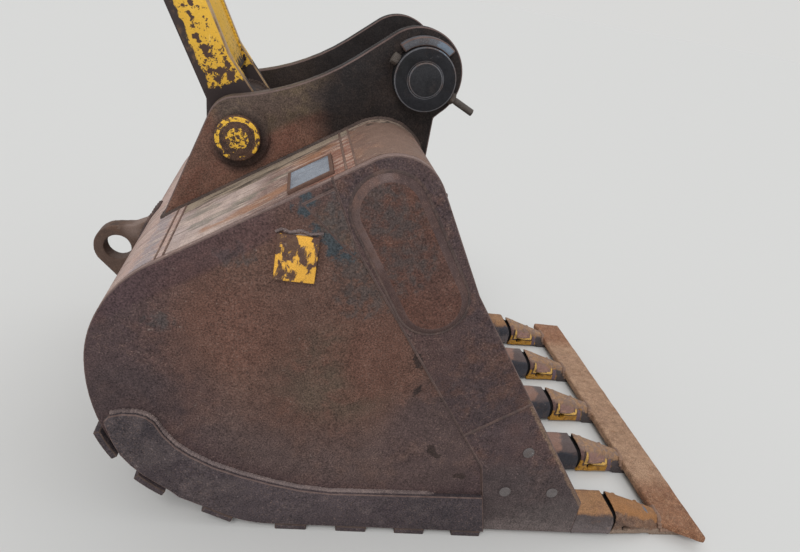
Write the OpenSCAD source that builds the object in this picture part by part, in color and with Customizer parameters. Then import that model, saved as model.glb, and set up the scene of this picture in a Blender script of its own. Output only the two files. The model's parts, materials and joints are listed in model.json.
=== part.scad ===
// Heavy-duty excavator bucket with its two pins and its bucket link.
// +X is the digging direction, Y runs across the bucket, +Z is up. It rests on its floor
// strips and its tooth tips. Profiles are drawn as (x, z), with x measured from the heel.

/* [Pins and ears] */
// Distance between the stick pin and the link pin
pin_spacing = 457; // [420:1:500]
// Radius of both pins
pin_r = 40; // [30:0.5:50]
// Height of the link pin above the ground
link_pin_z = 890; // [860:1:930]
// Distance of the link pin from the heel
link_pin_x = 263; // [230:1:290]
// Angle of the line from the link pin to the stick pin
pin_line_angle = 26; // [22:0.5:30]
// Clear width between the ears
ear_gap = 338; // [300:1:380]
// Thickness of an ear
ear_t = 40; // [30:1:50]
// Radius of the ear's lobe round the stick pin
ear_lobe_r = 106; // [98:1:114]
// Radius of the ear's rear corner
ear_corner_r = 72; // [62:1:80]
// Radius of the hollow along the ear's upper edge
ear_top_curve_r = 640; // [600:1:680]
// Radius of the round pad welded on the ear at the link pin
ear_pad_r = 72; // [62:1:80]
// Thickness of that pad
ear_pad_t = 6; // [4:1:16]
// Running clearance between a pin and the bore it sits in, on the radius
pin_clear = 0.1; // [0.05:0.05:0.3]

/* [Pin heads] */
// Radius of the link pin's head
link_head_r = 53; // [45:1:58]
// Thickness of the link pin's head
link_head_t = 24; // [10:1:30]
// Radius of the stick pin's collar
collar_r = 73; // [60:1:80]
// Width of the stick pin's collar
collar_t = 44; // [30:1:60]
// Thickness of the part-ring guard round the collar
guard_t = 20; // [12:1:26]
// How far that guard stands out from the ear
guard_w = 31; // [20:1:40]
// Radius of the retaining bolt
bolt_r = 8; // [6:0.5:10]
// Length of the retaining bolt's shank
bolt_len = 232; // [200:1:260]

/* [Shell] */
// Width over the side plates at the heel
heel_w = 1059; // [1000:1:1120]
// Angle by which each side plate opens towards the mouth
side_flare = 1; // [0:0.25:2]
// Radius of the upper heel
heel_r = 290; // [260:1:310]
// Height of the rearmost point of the heel
heel_z = 445; // [430:1:460]
// Radius of the lower heel
low_r = 450; // [430:1:480]
// Sweep of the lower heel, from its rearmost point
low_sweep = 23; // [20:0.5:27]
// Radius of the bend under the heel
bend_r = 350; // [320:5:380]
// Slope of the flat between the bend and the floor
under_slope = 24; // [20:0.5:28]
// Radius where that flat runs into the floor
toe_r = 250; // [150:5:320]
// Slope of the top sheet
top_slope = 33.7; // [31:0.1:36]
// Length of the top sheet's flat
top_len = 498; // [470:1:520]
// Radius of the torque tube at the top of the mouth
tube_r = 107; // [95:1:115]
// Wall of the torque tube
tube_wall = 20; // [12:1:30]
// Thickness of the shell's plates
shell_t = 20; // [12:1:26]
// Thickness of a side plate
side_t = 20; // [12:1:26]

/* [Sides] */
// How far the front cheek stands proud of the side plate
cheek_proud = 5; // [2:0.5:10]
// Width of the front cheek, square to its front edge
cheek_w = 184; // [160:1:200]
// Slope of the mouth's side edges, below the horizontal
mouth_slope = 54; // [51:0.5:57]
// Slope of their steeper upper stretch
upper_mouth_slope = 61; // [57:0.5:64]
// Length of that upper stretch
upper_mouth_len = 262; // [220:1:300]
// Radius of the long wear pad's ends
pad_r = 64; // [50:1:70]
// Distance between the centres of the long wear pad's ends
pad_len = 232; // [180:1:260]
// Thickness of the long wear pad
pad_t = 14; // [8:1:20]
// Width of the bevel round the long wear pad
pad_bevel = 15; // [6:1:18]
// Thickness of the tongue-shaped plate behind the front cheek
tongue_t = 4; // [2:0.5:5]
// Thickness of the shroud along the lower edge of the side
shroud_t = 16; // [8:1:24]
// Height of the shroud's upper edge along the floor
shroud_h = 122; // [100:1:150]
// Radius of the round plugs by the corner
plug_r = 15; // [10:1:20]

/* [Cutting edge] */
// Thickness of the cutting edge
lip_t = 40; // [30:1:50]
// Front of the cutting edge, from the heel
lip_x = 1262; // [1240:1:1280]
// Length of the cutting edge, front to back
lip_len = 262; // [220:1:300]
// Number of teeth
tooth_count = 5; // [3:1:6]
// Width of an adapter
adapter_w = 100; // [80:1:110]
// Height of an adapter
adapter_h = 100; // [94:1:115]
// Length of a tooth tip in front of its adapter
tip_len = 261; // [240:1:290]
// Gap between adapter and tip, where the nose shows
seam_gap = 8; // [4:1:12]
// Radius of the tip's retaining pin
tip_pin_r = 11; // [6:1:14]
// Width of the edge bar welded over the tips, front to back
bar_w = 113; // [90:1:120]
// Thickness of the edge bar
bar_t = 25; // [16:1:30]
// How far the edge bar reaches past the outer teeth
bar_over = 41; // [0:1:60]
// How far the bar's near end is cut back at its rear corner
bar_cut = 58; // [0:1:80]

/* [Wear strips and lifting eye] */
// Thickness of the wear strips under the floor and round the heel
strip_t = 16; // [10:1:22]
// Width of a wear strip, along the shell
strip_w = 78; // [50:1:90]
// Number of wear strips under the floor
strip_count = 4; // [2:1:5]
// Radius of the lifting eye's hole
eye_hole_r = 36; // [25:1:42]
// Radius of the lifting eye's outer edge
eye_r = 64; // [56:1:72]
// Thickness of the lifting eye
eye_t = 50; // [30:1:60]

/* [Rating plate and badge place] */
// Length of the blank plate's frame
plate_len = 104; // [80:1:120]
// Width of the blank plate's frame
plate_w = 130; // [100:1:150]
// Height of the frame
plate_h = 8; // [5:0.5:12]
// Length and height of the blank pad on the near side
badge_len = 86; // [60:1:100]
// Thickness of the blank pad
badge_t = 9; // [4:1:14]

/* [Bucket link] */
// Distance between the link's pins
link_len = 620; // [560:1:680]
// How far the link leans back from upright at rest
link_lean = 27; // [20:0.5:35]
// Width over the link's legs
link_w = 300; // [270:1:310]
// Thickness of a link leg
leg_t = 30; // [20:1:40]
// Width of a link leg, seen from the side
leg_w = 92; // [80:1:105]
// Radius of the link's lower boss
low_boss_r = 80; // [70:1:84]
// Radius of the link's upper bosses
top_boss_r = 76; // [66:1:86]
// Length of an upper boss
top_boss_len = 70; // [50:1:90]
// Clearance between the link's lower boss and each ear
link_side_clear = 5; // [5:0.5:10]
// Running clearance of the link on the link pin, on the radius
link_clear = 0.1; // [0.05:0.05:0.3]

/* [Hidden] */
$fn = 96;
far = 4000;                       // longer than anything that is cut with it
arc_step = 4;                     // degrees between the points of an arc

// Levels above the ground
floor_z = strip_t;                // underside of the floor
edge_top = floor_z + lip_t;

// Driving points of the shell's outer line, each as [x, z]
function at(a) = [cos(a), sin(a)];
heel_c = [heel_r, heel_z];
low_c = [low_r, heel_z];
low_end = low_c - low_r * at(low_sweep);
bend_c = low_end + bend_r * at(low_sweep);
bend_end = bend_c - bend_r * at(90 - under_slope);
toe_drop = toe_r * (1 - cos(under_slope));
toe_start = [bend_end[0] + (bend_end[1] - floor_z - toe_drop) / tan(under_slope), floor_z + toe_drop];
toe_c = toe_start + toe_r * at(90 - under_slope);
top_start = heel_c + heel_r * at(90 + top_slope);
top_end = top_start + top_len * at(top_slope);
tube_c = top_end - tube_r * at(90 + top_slope);

// Driving points of the mouth's side edge
tube_open = 90 - upper_mouth_slope;               // where it leaves the round of the tube
mouth_a = tube_c + tube_r * at(tube_open);
mouth_b = mouth_a + upper_mouth_len * at(-upper_mouth_slope);
corner_x = 1240;                                  // where the side meets the corner adapter
corner_z = mouth_b[1] - (corner_x - mouth_b[0]) * tan(mouth_slope);
function along_mouth(p, d, w) = p + d * at(-mouth_slope) - w * at(90 - mouth_slope);
cheek_top = along_mouth(mouth_b, -230, cheek_w);
cheek_low = along_mouth(mouth_b, 447, cheek_w);

// Pins
link_pin_c = [link_pin_x, link_pin_z];
stick_pin_c = link_pin_c + pin_spacing * at(pin_line_angle);
ear_out = ear_gap / 2 + ear_t;                    // outer face of an ear

// Teeth
function side_y(x) = heel_w / 2 + x * tan(side_flare);
adapter_x = lip_x + 72;                           // front face of an adapter's body, at the top
seam_x = adapter_x + seam_gap;
tooth_y = side_y(adapter_x) - adapter_w / 2;      // centre of the outer teeth
function tooth_pos(i) = -tooth_y + (i - 1) * 2 * tooth_y / (tooth_count - 1);
tip_x = seam_x + tip_len;
bar_z = 22;                                       // underside of the edge bar
bar_x = tip_x + 25;                               // front of the edge bar
bar_rear = bar_x - bar_w;

// Bucket link
link_top_c = link_pin_c + link_len * at(90 + link_lean);

// Lifting eye
eye_c = [-52, heel_z + 40];

// The origin is under the middle of the whole part
origin_x = (eye_c[0] - eye_r + bar_x) / 2;

// Placing helpers
module placed() translate([-origin_x, 0, 0]) children();
module slab(y0, y1) translate([0, y1, 0]) rotate([90, 0, 0]) linear_extrude(height = y1 - y0) children();
module at_xz(p) translate([p[0], 0, p[1]]) children();
module disc(p, r, y0, y1) at_xz(p) translate([0, y1, 0]) rotate([90, 0, 0]) cylinder(r = r, h = y1 - y0);
module both_ways(side) mirror([0, side == "far" ? 1 : 0, 0]) children();
// On a side plate's own plane: y = 0 is its outer face and +y leads into the bucket
module on_side(side) both_ways(side) translate([0, -heel_w / 2, 0]) rotate([0, 0, -side_flare]) children();
// What lies between two planes along the sides, each set out by d from the side plate's outer face
module within_sides(d) intersection() {
    children();
    y0 = side_y(-far) + d / cos(side_flare);
    y1 = side_y(far) + d / cos(side_flare);
    translate([0, 0, -far / 2]) linear_extrude(height = far)
        polygon([[-far, -y0], [far, -y1], [far, y1], [-far, y0]]);
}
module between_sides() within_sides(-side_t) children();

// Points along an arc from angle a0 to angle a1, a step of at most arc_step degrees apart
function arc(c, r, a0, a1) =
    let (n = ceil(abs(a1 - a0) / arc_step)) [for (i = [0 : n]) c + r * at(a0 + (a1 - a0) * i / n)];

// Outer line of the shell from the tube over the heel to the floor, moved inwards by inset
function shell_path(inset) = concat(
    arc(tube_c, tube_r - inset, tube_open, 90 + top_slope),
    arc(heel_c, heel_r - inset, 90 + top_slope, 180),
    arc(low_c, low_r - inset, 180, 180 + low_sweep),
    arc(bend_c, bend_r - inset, 180 + low_sweep, 270 - under_slope),
    arc(toe_c, toe_r - inset, 270 - under_slope, 270));
module shell_line(inset = 0) polygon(concat(shell_path(inset), [[corner_x, floor_z + inset]]));
module shell_wall() difference() {
    shell_line();
    shell_line(shell_t);
}
// Everything on one side of the line through p that runs at angle a
module half_plane(p, a) translate(p) rotate(a) translate([-far, 0]) square([2 * far, far]);

heel_seam = top_start + 30 * at(top_slope);
floor_seam = [toe_c[0] + 25, 0];
tube_seam = top_end - 34 * at(top_slope);

module top_sheet() color("#9b7462") between_sides() slab(-far / 2, far / 2) intersection() {
    shell_wall();
    half_plane(heel_seam, top_slope - 90);
    half_plane(tube_seam, top_slope + 90);
    half_plane(heel_c, top_slope);
}
module heel_sheet() color("#7a5c50") between_sides() slab(-far / 2, far / 2) intersection() {
    shell_wall();
    half_plane(heel_seam, top_slope + 90);
    translate([-200, -10]) square([floor_seam[0] + 200, 1000]);
}
module floor_plate() color("#6a5047") between_sides()
    translate([floor_seam[0], -far / 2, floor_z]) cube([lip_x - lip_len - floor_seam[0], far, shell_t]);

// The torque tube: a round tube whose rear runs out flat under the top sheet
module torque_tube() color("#a5805f") difference() {
    between_sides() slab(-far / 2, far / 2)
        polygon(concat([tube_seam], arc(tube_c, tube_r, 90 + top_slope, tube_open),
                       arc(tube_c, tube_r, tube_open, -90), [tube_seam - shell_t * at(90 + top_slope)]));
    disc(tube_c, tube_r - tube_wall, -far / 2, far / 2);
}

// Whole outline of a side, seen square on
module side_outline() polygon(concat([mouth_b], shell_path(0), [[corner_x, floor_z], [corner_x, corner_z]]));
cheek_foot_x = cheek_low[0] + 52;
module cheek_zone() polygon([
    cheek_top + 400 * at(116), cheek_top, cheek_low, [cheek_foot_x, floor_z], [cheek_foot_x, -far],
    [far, -far], [far, far]
]);
lower_seam = along_mouth(mouth_b, 333, 0);
tongue = [[420, 856], [526, 763], [536, 756], [546, 754], [560, 760], [503, 858], [478, 896]];
module side_plate(side) color("#5a443f") on_side(side) difference() {
    union() {
        slab(0, side_t) side_outline();
        slab(-tongue_t, side_t / 2) polygon(tongue);
    }
    slab(-far, far) cheek_zone();
}
module cheek_plate() intersection() {
    side_outline();
    cheek_zone();
}
module cheek_upper(side) color("#5f4640") on_side(side) slab(-cheek_proud, side_t) intersection() {
    cheek_plate();
    half_plane(lower_seam, 90 - mouth_slope);
}
module cheek_lower(side) color("#57423d") on_side(side) slab(-cheek_proud, side_t) intersection() {
    cheek_plate();
    half_plane(lower_seam, 270 - mouth_slope);
}

// Long wear pad with bevelled edges
pad_top_c = along_mouth(mouth_b, -274, 85);
pad_slope = -57;
pad_low_c = pad_top_c + pad_len * at(pad_slope);
module pad_slice(r, y0, y1) slab(y0, y1) polygon(concat(
    arc(pad_top_c, r, pad_slope + 90, pad_slope + 270), arc(pad_low_c, r, pad_slope - 90, pad_slope + 90)));
module wear_pad(side) color("#65483f") on_side(side) hull() {
    pad_slice(pad_r + pad_bevel, -cheek_proud - pad_t / 4, -cheek_proud);
    pad_slice(pad_r, -cheek_proud - pad_t, -cheek_proud - pad_t * 3 / 4);
}

// Shroud along the lower edge of the side
shroud_rear = [[240, 60], [194, 104], [127, 152], [100, 178], [77, 207], [60, 244], [49, 275], [42, 298]];
shroud_top = [
    [53, 313], [80, 322], [110, 323], [132, 317], [150, 303], [170, 270], [197, 239], [229, 215],
    [283, 186], [347, 163], [420, 143], [494, shroud_h + 6], [569, shroud_h]
];
shroud_back = 0.5;                                // it stays this far inside the shell's line
module side_shroud(side) color("#4d3c39") on_side(side) slab(-shroud_t, 0) difference() {
    intersection() {
        polygon(concat([[shroud_rear[0][0], 0]], shroud_rear, shroud_top,
                       [[cheek_foot_x, shroud_h + 12], [cheek_foot_x, 0]]));
        shell_line(shroud_back);
    }
    cheek_zone();
}
module corner_plugs(side) color("#8b8785") on_side(side)
    for (p = [[1018, 150], [1146, 154], [1048, 280]]) disc(p, plug_r, -cheek_proud - 3, -cheek_proud);

// Ears
ear_rear_foot = [96, 664];
ear_corner_c = link_pin_c + [-3, 20];
ear_lobe_c = stick_pin_c + [-10, 5];
ear_hollow_a = 102;                               // where the rear corner turns into the hollow
ear_front_x = 719;
module ear_outline() polygon(concat(
    [heel_c, ear_rear_foot],
    arc(ear_corner_c, ear_corner_r, 161, ear_hollow_a),
    arc(ear_corner_c + (ear_corner_r + ear_top_curve_r) * at(ear_hollow_a), ear_top_curve_r,
        180 + ear_hollow_a, 309),
    arc(ear_lobe_c, ear_lobe_r, 130, -48),
    [[ear_front_x, 1000], [ear_front_x, tube_c[1]], tube_c]));
module ear(side) color("#463733") both_ways(side) difference() {
    slab(-ear_out, -ear_gap / 2) difference() {
        ear_outline();
        shell_line();
    }
    for (p = [link_pin_c, stick_pin_c]) disc(p, pin_r + pin_clear, -ear_out - 1, 1 - ear_gap / 2);
}
module ear_pad(side) color("#4a3a35") both_ways(side) difference() {
    disc(link_pin_c, ear_pad_r, -ear_out - ear_pad_t, -ear_out);
    disc(link_pin_c, pin_r + pin_clear, -ear_out - ear_pad_t - 1, 1 - ear_out);
}
module stick_collar(side) color("#2c2b2e") both_ways(side) difference() {
    disc(stick_pin_c, collar_r, -ear_out - collar_t, -ear_out);
    disc(stick_pin_c, pin_r + pin_clear, -ear_out - collar_t - 1, 1 - ear_out);
    if (side == "near") bolt_run(bolt_r + pin_clear);
}

// Pins
module stick_pin() color("#232326") difference() {
    disc(stick_pin_c, pin_r, -ear_out - collar_t - 4, ear_out + collar_t + 4);
    bolt_run(bolt_r + pin_clear);
}
module link_pin() color("#8a6a2a") {
    disc(link_pin_c, pin_r, -ear_out - ear_pad_t, ear_out + ear_pad_t);
    for (side = ["near", "far"]) both_ways(side)
        disc(link_pin_c, link_head_r, -ear_out - ear_pad_t - link_head_t, -ear_out - ear_pad_t);
}
bolt_slope = -24.7;
bolt_head_t = 2 * bolt_r;
module along_bolt() at_xz(stick_pin_c) translate([0, -ear_out - collar_t / 2, 0])
    rotate([0, 90 - bolt_slope, 0]) translate([0, 0, -collar_r - bolt_head_t]) children();
module bolt_run(r) along_bolt() cylinder(r = r, h = bolt_len);
module retaining_bolt() color("#6f6a66") {
    bolt_run(bolt_r);
    along_bolt() cylinder(r = 1.7 * bolt_r, h = bolt_head_t, $fn = 6);
}
// Part ring on the ear that guards the collar
module collar_guard() color("#3a3c42") slab(-ear_out - guard_w, -ear_out) polygon(concat(
    arc(stick_pin_c, collar_r + 1 + guard_t, 50, 136), arc(stick_pin_c, collar_r + 1, 136, 50)));

// Cutting edge, with its front bevelled from above
lip_front_t = lip_t * 0.3;                        // what is left of its thickness at the front
lip_line = [[lip_x, floor_z], [lip_x, floor_z + lip_front_t], [lip_x - lip_t, edge_top]];
module cutting_edge() color("#6e5348") between_sides() slab(-far / 2, far / 2)
    polygon(concat([[lip_x - lip_len, floor_z]], lip_line, [[lip_x - lip_len, edge_top]]));

// Teeth. The seam between adapter and tip is bowed, seen from the side
seam_c = [-67, 38];                               // centre of the bow, from its upper end's x
seam_r = norm([seam_c[0], adapter_h - seam_c[1]]);
seam_lift = 4;                                    // the tip's bow is higher, so the gap is wide at its top
function seam_line(x, lift = 0) = let (c = seam_c + [x, lift])
    arc(c, seam_r, acos(-seam_c[0] / seam_r), -asin(c[1] / seam_r));
adapter_low = 14;                                 // underside of an adapter at the seam
module adapter_side() difference() {
    polygon(concat(
        [[lip_x - 180, edge_top], [lip_x - 120, edge_top + 22], [lip_x - 20, adapter_h - 5]],
        seam_line(adapter_x),
        [[lip_x - 130, 0], [lip_x - 160, floor_z]]));
    polygon([[lip_x - 130, 0], [lip_x, adapter_low], [far, adapter_low], [far, -far], [lip_x - 130, -far]]);
}
// Cross-section of height h with rounded upper corners, its flanks at y0 and y1
module arch(y0, y1, h, r0, r1) polygon(concat(
    [[y0, 0], [y1, 0]], arc([y1 - r1, h - r1], r1, 0, 90), arc([y0 + r0, h - r0], r0, 90, 180)));
module along_x(x0, x1) translate([x0, 0, 0]) rotate([90, 0, 90]) linear_extrude(height = x1 - x0) children();
flank_r = 42;                                     // rounding of an adapter's top
corner_flank_r = 28;                              // the same on the outer face of a corner adapter
corner_half = adapter_w / 2 + 2 * cheek_proud;    // a corner adapter is cut off at the cheek's plane
nose_inset = 9;                                   // from the adapter's skin in to its nose
nose_half = adapter_w / 2 - nose_inset;
nose_low = 16;
nose_top = adapter_h - nose_inset;
nose_len = 70;
module nose(grow) intersection() {
    along_x(adapter_x - 30, adapter_x + nose_len + grow) arch(
        -nose_half - grow, nose_half + grow, nose_top + grow, flank_r - nose_inset, flank_r - nose_inset);
    slab(-adapter_w, adapter_w) polygon([
        [0, nose_low - grow], [far, nose_low - grow], [adapter_x + nose_len + grow, nose_top * 0.6 + grow],
        [adapter_x, nose_top + grow], [0, nose_top + grow]]);
}
module adapter(i) color("#3b3f49") difference() {
    translate([0, tooth_pos(i), 0]) {
        intersection() {
            slab(-adapter_w, adapter_w) adapter_side();
            along_x(0, far) arch(
                i == 1 ? -corner_half : -adapter_w / 2, i == tooth_count ? corner_half : adapter_w / 2,
                adapter_h, i == 1 ? corner_flank_r : flank_r, i == tooth_count ? corner_flank_r : flank_r);
        }
        nose(0);
    }
    between_sides() slab(-far / 2, far / 2) polygon(concat([[0, floor_z]], lip_line, [[0, edge_top]]));
    for (side = ["near", "far"]) on_side(side) {
        slab(-far, side_t) polygon([[0, -far], [corner_x, -far], [corner_x, far], [0, far]]);
        slab(-far, -cheek_proud) square(far);
    }
}
tip_inset = 1;                                    // a tip's skin at the seam, inside the adapter's
tip_straight = 15;                                // from there its section stays the same this far
tip_front_half = 40;                              // half width of a tip at the bar
tip_flank_z = 14;                                 // height of its upright flanks there
tip_ridge_half = 16;                              // half width of its top there
tip_ridge_z = 50;                                 // height of its top there
tip_low = 8;                                      // underside of a tip behind its worn point
point_x = bar_rear - 30;                          // where that point begins
tip_pin_at = [64, 31];                            // its retaining pin's hole, from the seam
slice_t = 0.1;
module tip(i) color(i == 1 ? "#a5683c" : "#b08432") translate([0, tooth_pos(i), 0]) difference() {
    union() {
        intersection() {
            hull() {
                along_x(seam_x - 1, seam_x + tip_straight) arch(
                    tip_inset - adapter_w / 2, adapter_w / 2 - tip_inset, adapter_h - tip_inset,
                    flank_r - tip_inset, flank_r - tip_inset);
                along_x(bar_rear - slice_t, bar_rear) polygon([
                    [-tip_front_half, 0], [tip_front_half, 0], [tip_front_half, tip_flank_z],
                    [tip_ridge_half, tip_ridge_z], [-tip_ridge_half, tip_ridge_z],
                    [-tip_front_half, tip_flank_z]]);
            }
            slab(-adapter_w, adapter_w) intersection() {
                polygon(concat(seam_line(seam_x, seam_lift), [[far, 0], [far, far], [seam_x, far]]));
                translate([0, tip_low]) square(far);
            }
        }
        slab(-tip_front_half, tip_front_half) polygon([
            [point_x, 6], [point_x + 8, 0], [tip_x - 12, 0], [tip_x, 9], [tip_x, bar_z], [point_x, bar_z]]);
    }
    nose(0.3);
    disc([seam_x, 0] + tip_pin_at, tip_pin_r, -adapter_w, adapter_w);
}
bar_half = tooth_y + adapter_w / 2 + bar_over;
module edge_bar() color("#a36a41") translate([0, 0, bar_z]) linear_extrude(height = bar_t) polygon([
    [bar_rear, bar_cut - bar_half], [bar_x, -bar_half], [bar_x, bar_half], [bar_rear, bar_half]]);

// Wear strips
heel_strip_angles = [209, 233];                   // where they sit, from the centre of the lower bend
strip_half = strip_w / 2 / bend_r * 180 / PI;
strip_bite = 20;                                  // how deep its polygon reaches into the shell, cut away
module heel_strips() color("#43363a") within_sides(shroud_t) {
    for (a = heel_strip_angles) slab(-far / 2, far / 2) difference() {
        polygon(concat(arc(bend_c, bend_r + strip_t, a - strip_half, a + strip_half),
                       arc(bend_c, bend_r - strip_bite, a + strip_half, a - strip_half)));
        shell_line();
    }
    at_xz(toe_start) rotate([0, under_slope, 0]) translate([18 - strip_w, -far / 2, -strip_t])
        cube([strip_w, far, strip_t]);
}
floor_strip_x = toe_c[0] + 18;                    // rear edge of the first
floor_strip_step = (lip_x - lip_len - 20 - strip_w - floor_strip_x) / (strip_count - 1);
module floor_strips() color("#43363a") within_sides(shroud_t) for (i = [0 : strip_count - 1])
    translate([floor_strip_x + i * floor_strip_step, -far / 2, 0]) cube([strip_w, far, strip_t]);

// Lifting eye, a thick plate on the middle of the heel
module lifting_eye() color("#4c3a34") difference() {
    slab(-eye_t / 2, eye_t / 2) difference() {
        polygon(concat(arc(eye_c, eye_r, 215, 100), [
            [-10, eye_c[1] + 70], [28, eye_c[1] + 90], [62, eye_c[1] + 136], [200, 600], [120, 300],
            [6, heel_z - 110]]));
        shell_line();
    }
    disc(eye_c, eye_hole_r, -eye_t, eye_t);
}

// Blank plate in its frame, on the top sheet
plate_c = top_start + 365 * at(top_slope);
plate_y = -443;
plate_rim = 8;                                    // width of the frame's rim
plate_sunk = 3;                                   // how far the plate lies below it
module rating_plate() color("#8f8f92") translate([plate_c[0], plate_y, plate_c[1]])
    rotate([0, -top_slope, 0]) difference() {
        translate([-plate_len / 2, -plate_w / 2, 0]) cube([plate_len, plate_w, plate_h]);
        translate([plate_rim - plate_len / 2, plate_rim - plate_w / 2, plate_h - plate_sunk])
            cube([plate_len - 2 * plate_rim, plate_w - 2 * plate_rim, far]);
    }
badge_corner = [376, 686];
module badge_pad() color("#6a4a34") on_side("near") translate([badge_corner[0], -badge_t, badge_corner[1]])
    cube([badge_len, badge_t, badge_len * 1.2]);

// Bucket link, drawn upright from the link pin and leaned back
module leaned() at_xz(link_pin_c) rotate([0, -link_lean, 0]) children();
leg_blend = 170;                                  // how far the bosses' flare runs along a leg
rear_blend = 95;                                  // the same behind the lower boss
module leg_line() polygon(concat(
    arc([0, 0], low_boss_r, 155, 370),
    [[leg_w / 2, leg_blend], [leg_w / 2, link_len - leg_blend]],
    arc([0, link_len], top_boss_r, -10, 190),
    [[-leg_w / 2, link_len - leg_blend], [-leg_w / 2, rear_blend]]));
boss_half = ear_gap / 2 - link_side_clear;        // half the length of the lower boss
module link_leg(side) color("#d8a21f") leaned() both_ways(side) difference() {
    slab(-link_w / 2, leg_t - link_w / 2) leg_line();
    for (z = [0, link_len]) disc([0, z], pin_r + link_clear, -link_w, 0);
}
module link_low_boss() color("#4f3c30") leaned() difference() {
    union() {
        disc([0, 0], low_boss_r - 6, leg_t - link_w / 2, link_w / 2 - leg_t);
        for (s = [-1, 1]) translate([0, s * (boss_half + link_w / 2) / 2, 0])
            disc([0, 0], low_boss_r - 6, link_w / 4 - boss_half / 2, boss_half / 2 - link_w / 4);
    }
    disc([0, 0], pin_r + link_clear, -link_w, link_w);
}
module link_top_bosses() color("#b98f2c") leaned() for (s = ["near", "far"]) both_ways(s) difference() {
    disc([0, link_len], top_boss_r - 4, -link_w / 2 - 12, -link_w / 2);
    disc([0, link_len], pin_r + link_clear, -link_w, link_w);
}
link_plate_t = 20;
link_plate_inset = 6;                             // from the legs' front edges back to its face
link_plate_z = [120, 410];                        // its ends, from the link pin
module link_plate() color("#c8961d") leaned()
    translate([leg_w / 2 - link_plate_inset - link_plate_t, leg_t - link_w / 2, link_plate_z[0]])
        cube([link_plate_t, link_w - 2 * leg_t, link_plate_z[1] - link_plate_z[0]]);

for (i = [1 : tooth_count]) {
    placed() adapter(i);
    placed() tip(i);
}
for (side = ["near", "far"]) {
    placed() side_plate(side);
    placed() cheek_upper(side);
    placed() cheek_lower(side);
    placed() wear_pad(side);
    placed() side_shroud(side);
    placed() corner_plugs(side);
    placed() ear(side);
    placed() ear_pad(side);
    placed() stick_collar(side);
    placed() link_leg(side);
}
placed() top_sheet();
placed() heel_sheet();
placed() floor_plate();
placed() torque_tube();
placed() cutting_edge();
placed() heel_strips();
placed() floor_strips();
placed() lifting_eye();
placed() rating_plate();
placed() badge_pad();
placed() edge_bar();
placed() stick_pin();
placed() link_pin();
placed() retaining_bolt();
placed() collar_guard();
placed() link_plate();
placed() link_low_boss();
placed() link_top_bosses();
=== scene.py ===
import json
import math

import bmesh
import bpy
from mathutils import Matrix, Vector
from mathutils.bvhtree import BVHTree


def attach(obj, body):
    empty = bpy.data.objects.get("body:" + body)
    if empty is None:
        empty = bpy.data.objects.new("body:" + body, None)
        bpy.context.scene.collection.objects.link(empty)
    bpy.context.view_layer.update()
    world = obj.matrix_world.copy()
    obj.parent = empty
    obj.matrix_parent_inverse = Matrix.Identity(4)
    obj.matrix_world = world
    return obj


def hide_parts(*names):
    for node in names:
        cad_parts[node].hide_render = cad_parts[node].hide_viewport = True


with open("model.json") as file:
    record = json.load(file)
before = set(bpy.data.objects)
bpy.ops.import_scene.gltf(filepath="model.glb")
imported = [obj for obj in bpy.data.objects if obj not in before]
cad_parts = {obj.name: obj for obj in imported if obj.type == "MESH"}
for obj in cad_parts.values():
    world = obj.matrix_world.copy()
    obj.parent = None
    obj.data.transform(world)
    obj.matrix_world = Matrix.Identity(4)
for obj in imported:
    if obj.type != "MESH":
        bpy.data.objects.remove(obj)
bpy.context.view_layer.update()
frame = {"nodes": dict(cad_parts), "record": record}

bl_info = {
    "name": "Digging bucket",
    "version": (2, 0, 0),
    "blender": (4, 5, 0),
    "location": "3D View > Sidebar > Bucket",
    "description": "Finishes the pieces of a digging bucket with its link, and sets its stage and camera",
    "category": "Object",
}

RECORD = frame["record"]
BODY = {n: b for b, names in RECORD["behaviour"]["bodies"].items() for n in names}
SLOT = {s["node"]: s["material_slot"] for s in RECORD["subparts"]}
ORIGIN_X = 0.756  # from the heel to the frame's origin
LINK_PIN = (0.263, 0.890)
STICK_PIN = (0.6737, 1.0903)
LINK_LEAN = math.radians(27)
HEEL_HALF = 0.5295  # half width over the side plates at the heel
FLARE = math.tan(math.radians(1))
TOP_SLOPE = math.radians(33.7)
SIDES = (("near", -1), ("far", 1))
TEETH = 5
TOOTH_PITCH = 0.2514
EAR_FACES = (0.169, 0.209)
MOUTH_BEND = (0.8234, 0.6963)  # where the mouth's side edge bends
MOUTH_SLOPE = math.radians(54)
TOP_START = (0.1291, 0.6863)  # where the top sheet's flat begins
SHELL_T = 0.020  # thickness of the shell's plates


# Places: x is measured from the heel, y from the middle, z from the ground, all in metres

def place(x, y, z):
    return Vector((x - ORIGIN_X, y, z))


def side_y(x, out=0.0):
    """Distance of a side plate's outer face from the middle, set outwards by out."""
    return HEEL_HALF + x * FLARE + out


def arc(cx, cz, r, a0, a1, n):
    """Points (x, z) along an arc, angles in degrees."""
    steps = [math.radians(a0 + (a1 - a0) * i / n) for i in range(n + 1)]
    return [(cx + r * math.cos(a), cz + r * math.sin(a)) for a in steps]


def hanging(s, z):
    """A point (x, z) of the link drawn upright from its pin, leaned back to its rest."""
    c, d = math.cos(LINK_LEAN), math.sin(LINK_LEAN)
    return LINK_PIN[0] + s * c - z * d, LINK_PIN[1] + s * d + z * c


# Shader graphs

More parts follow.
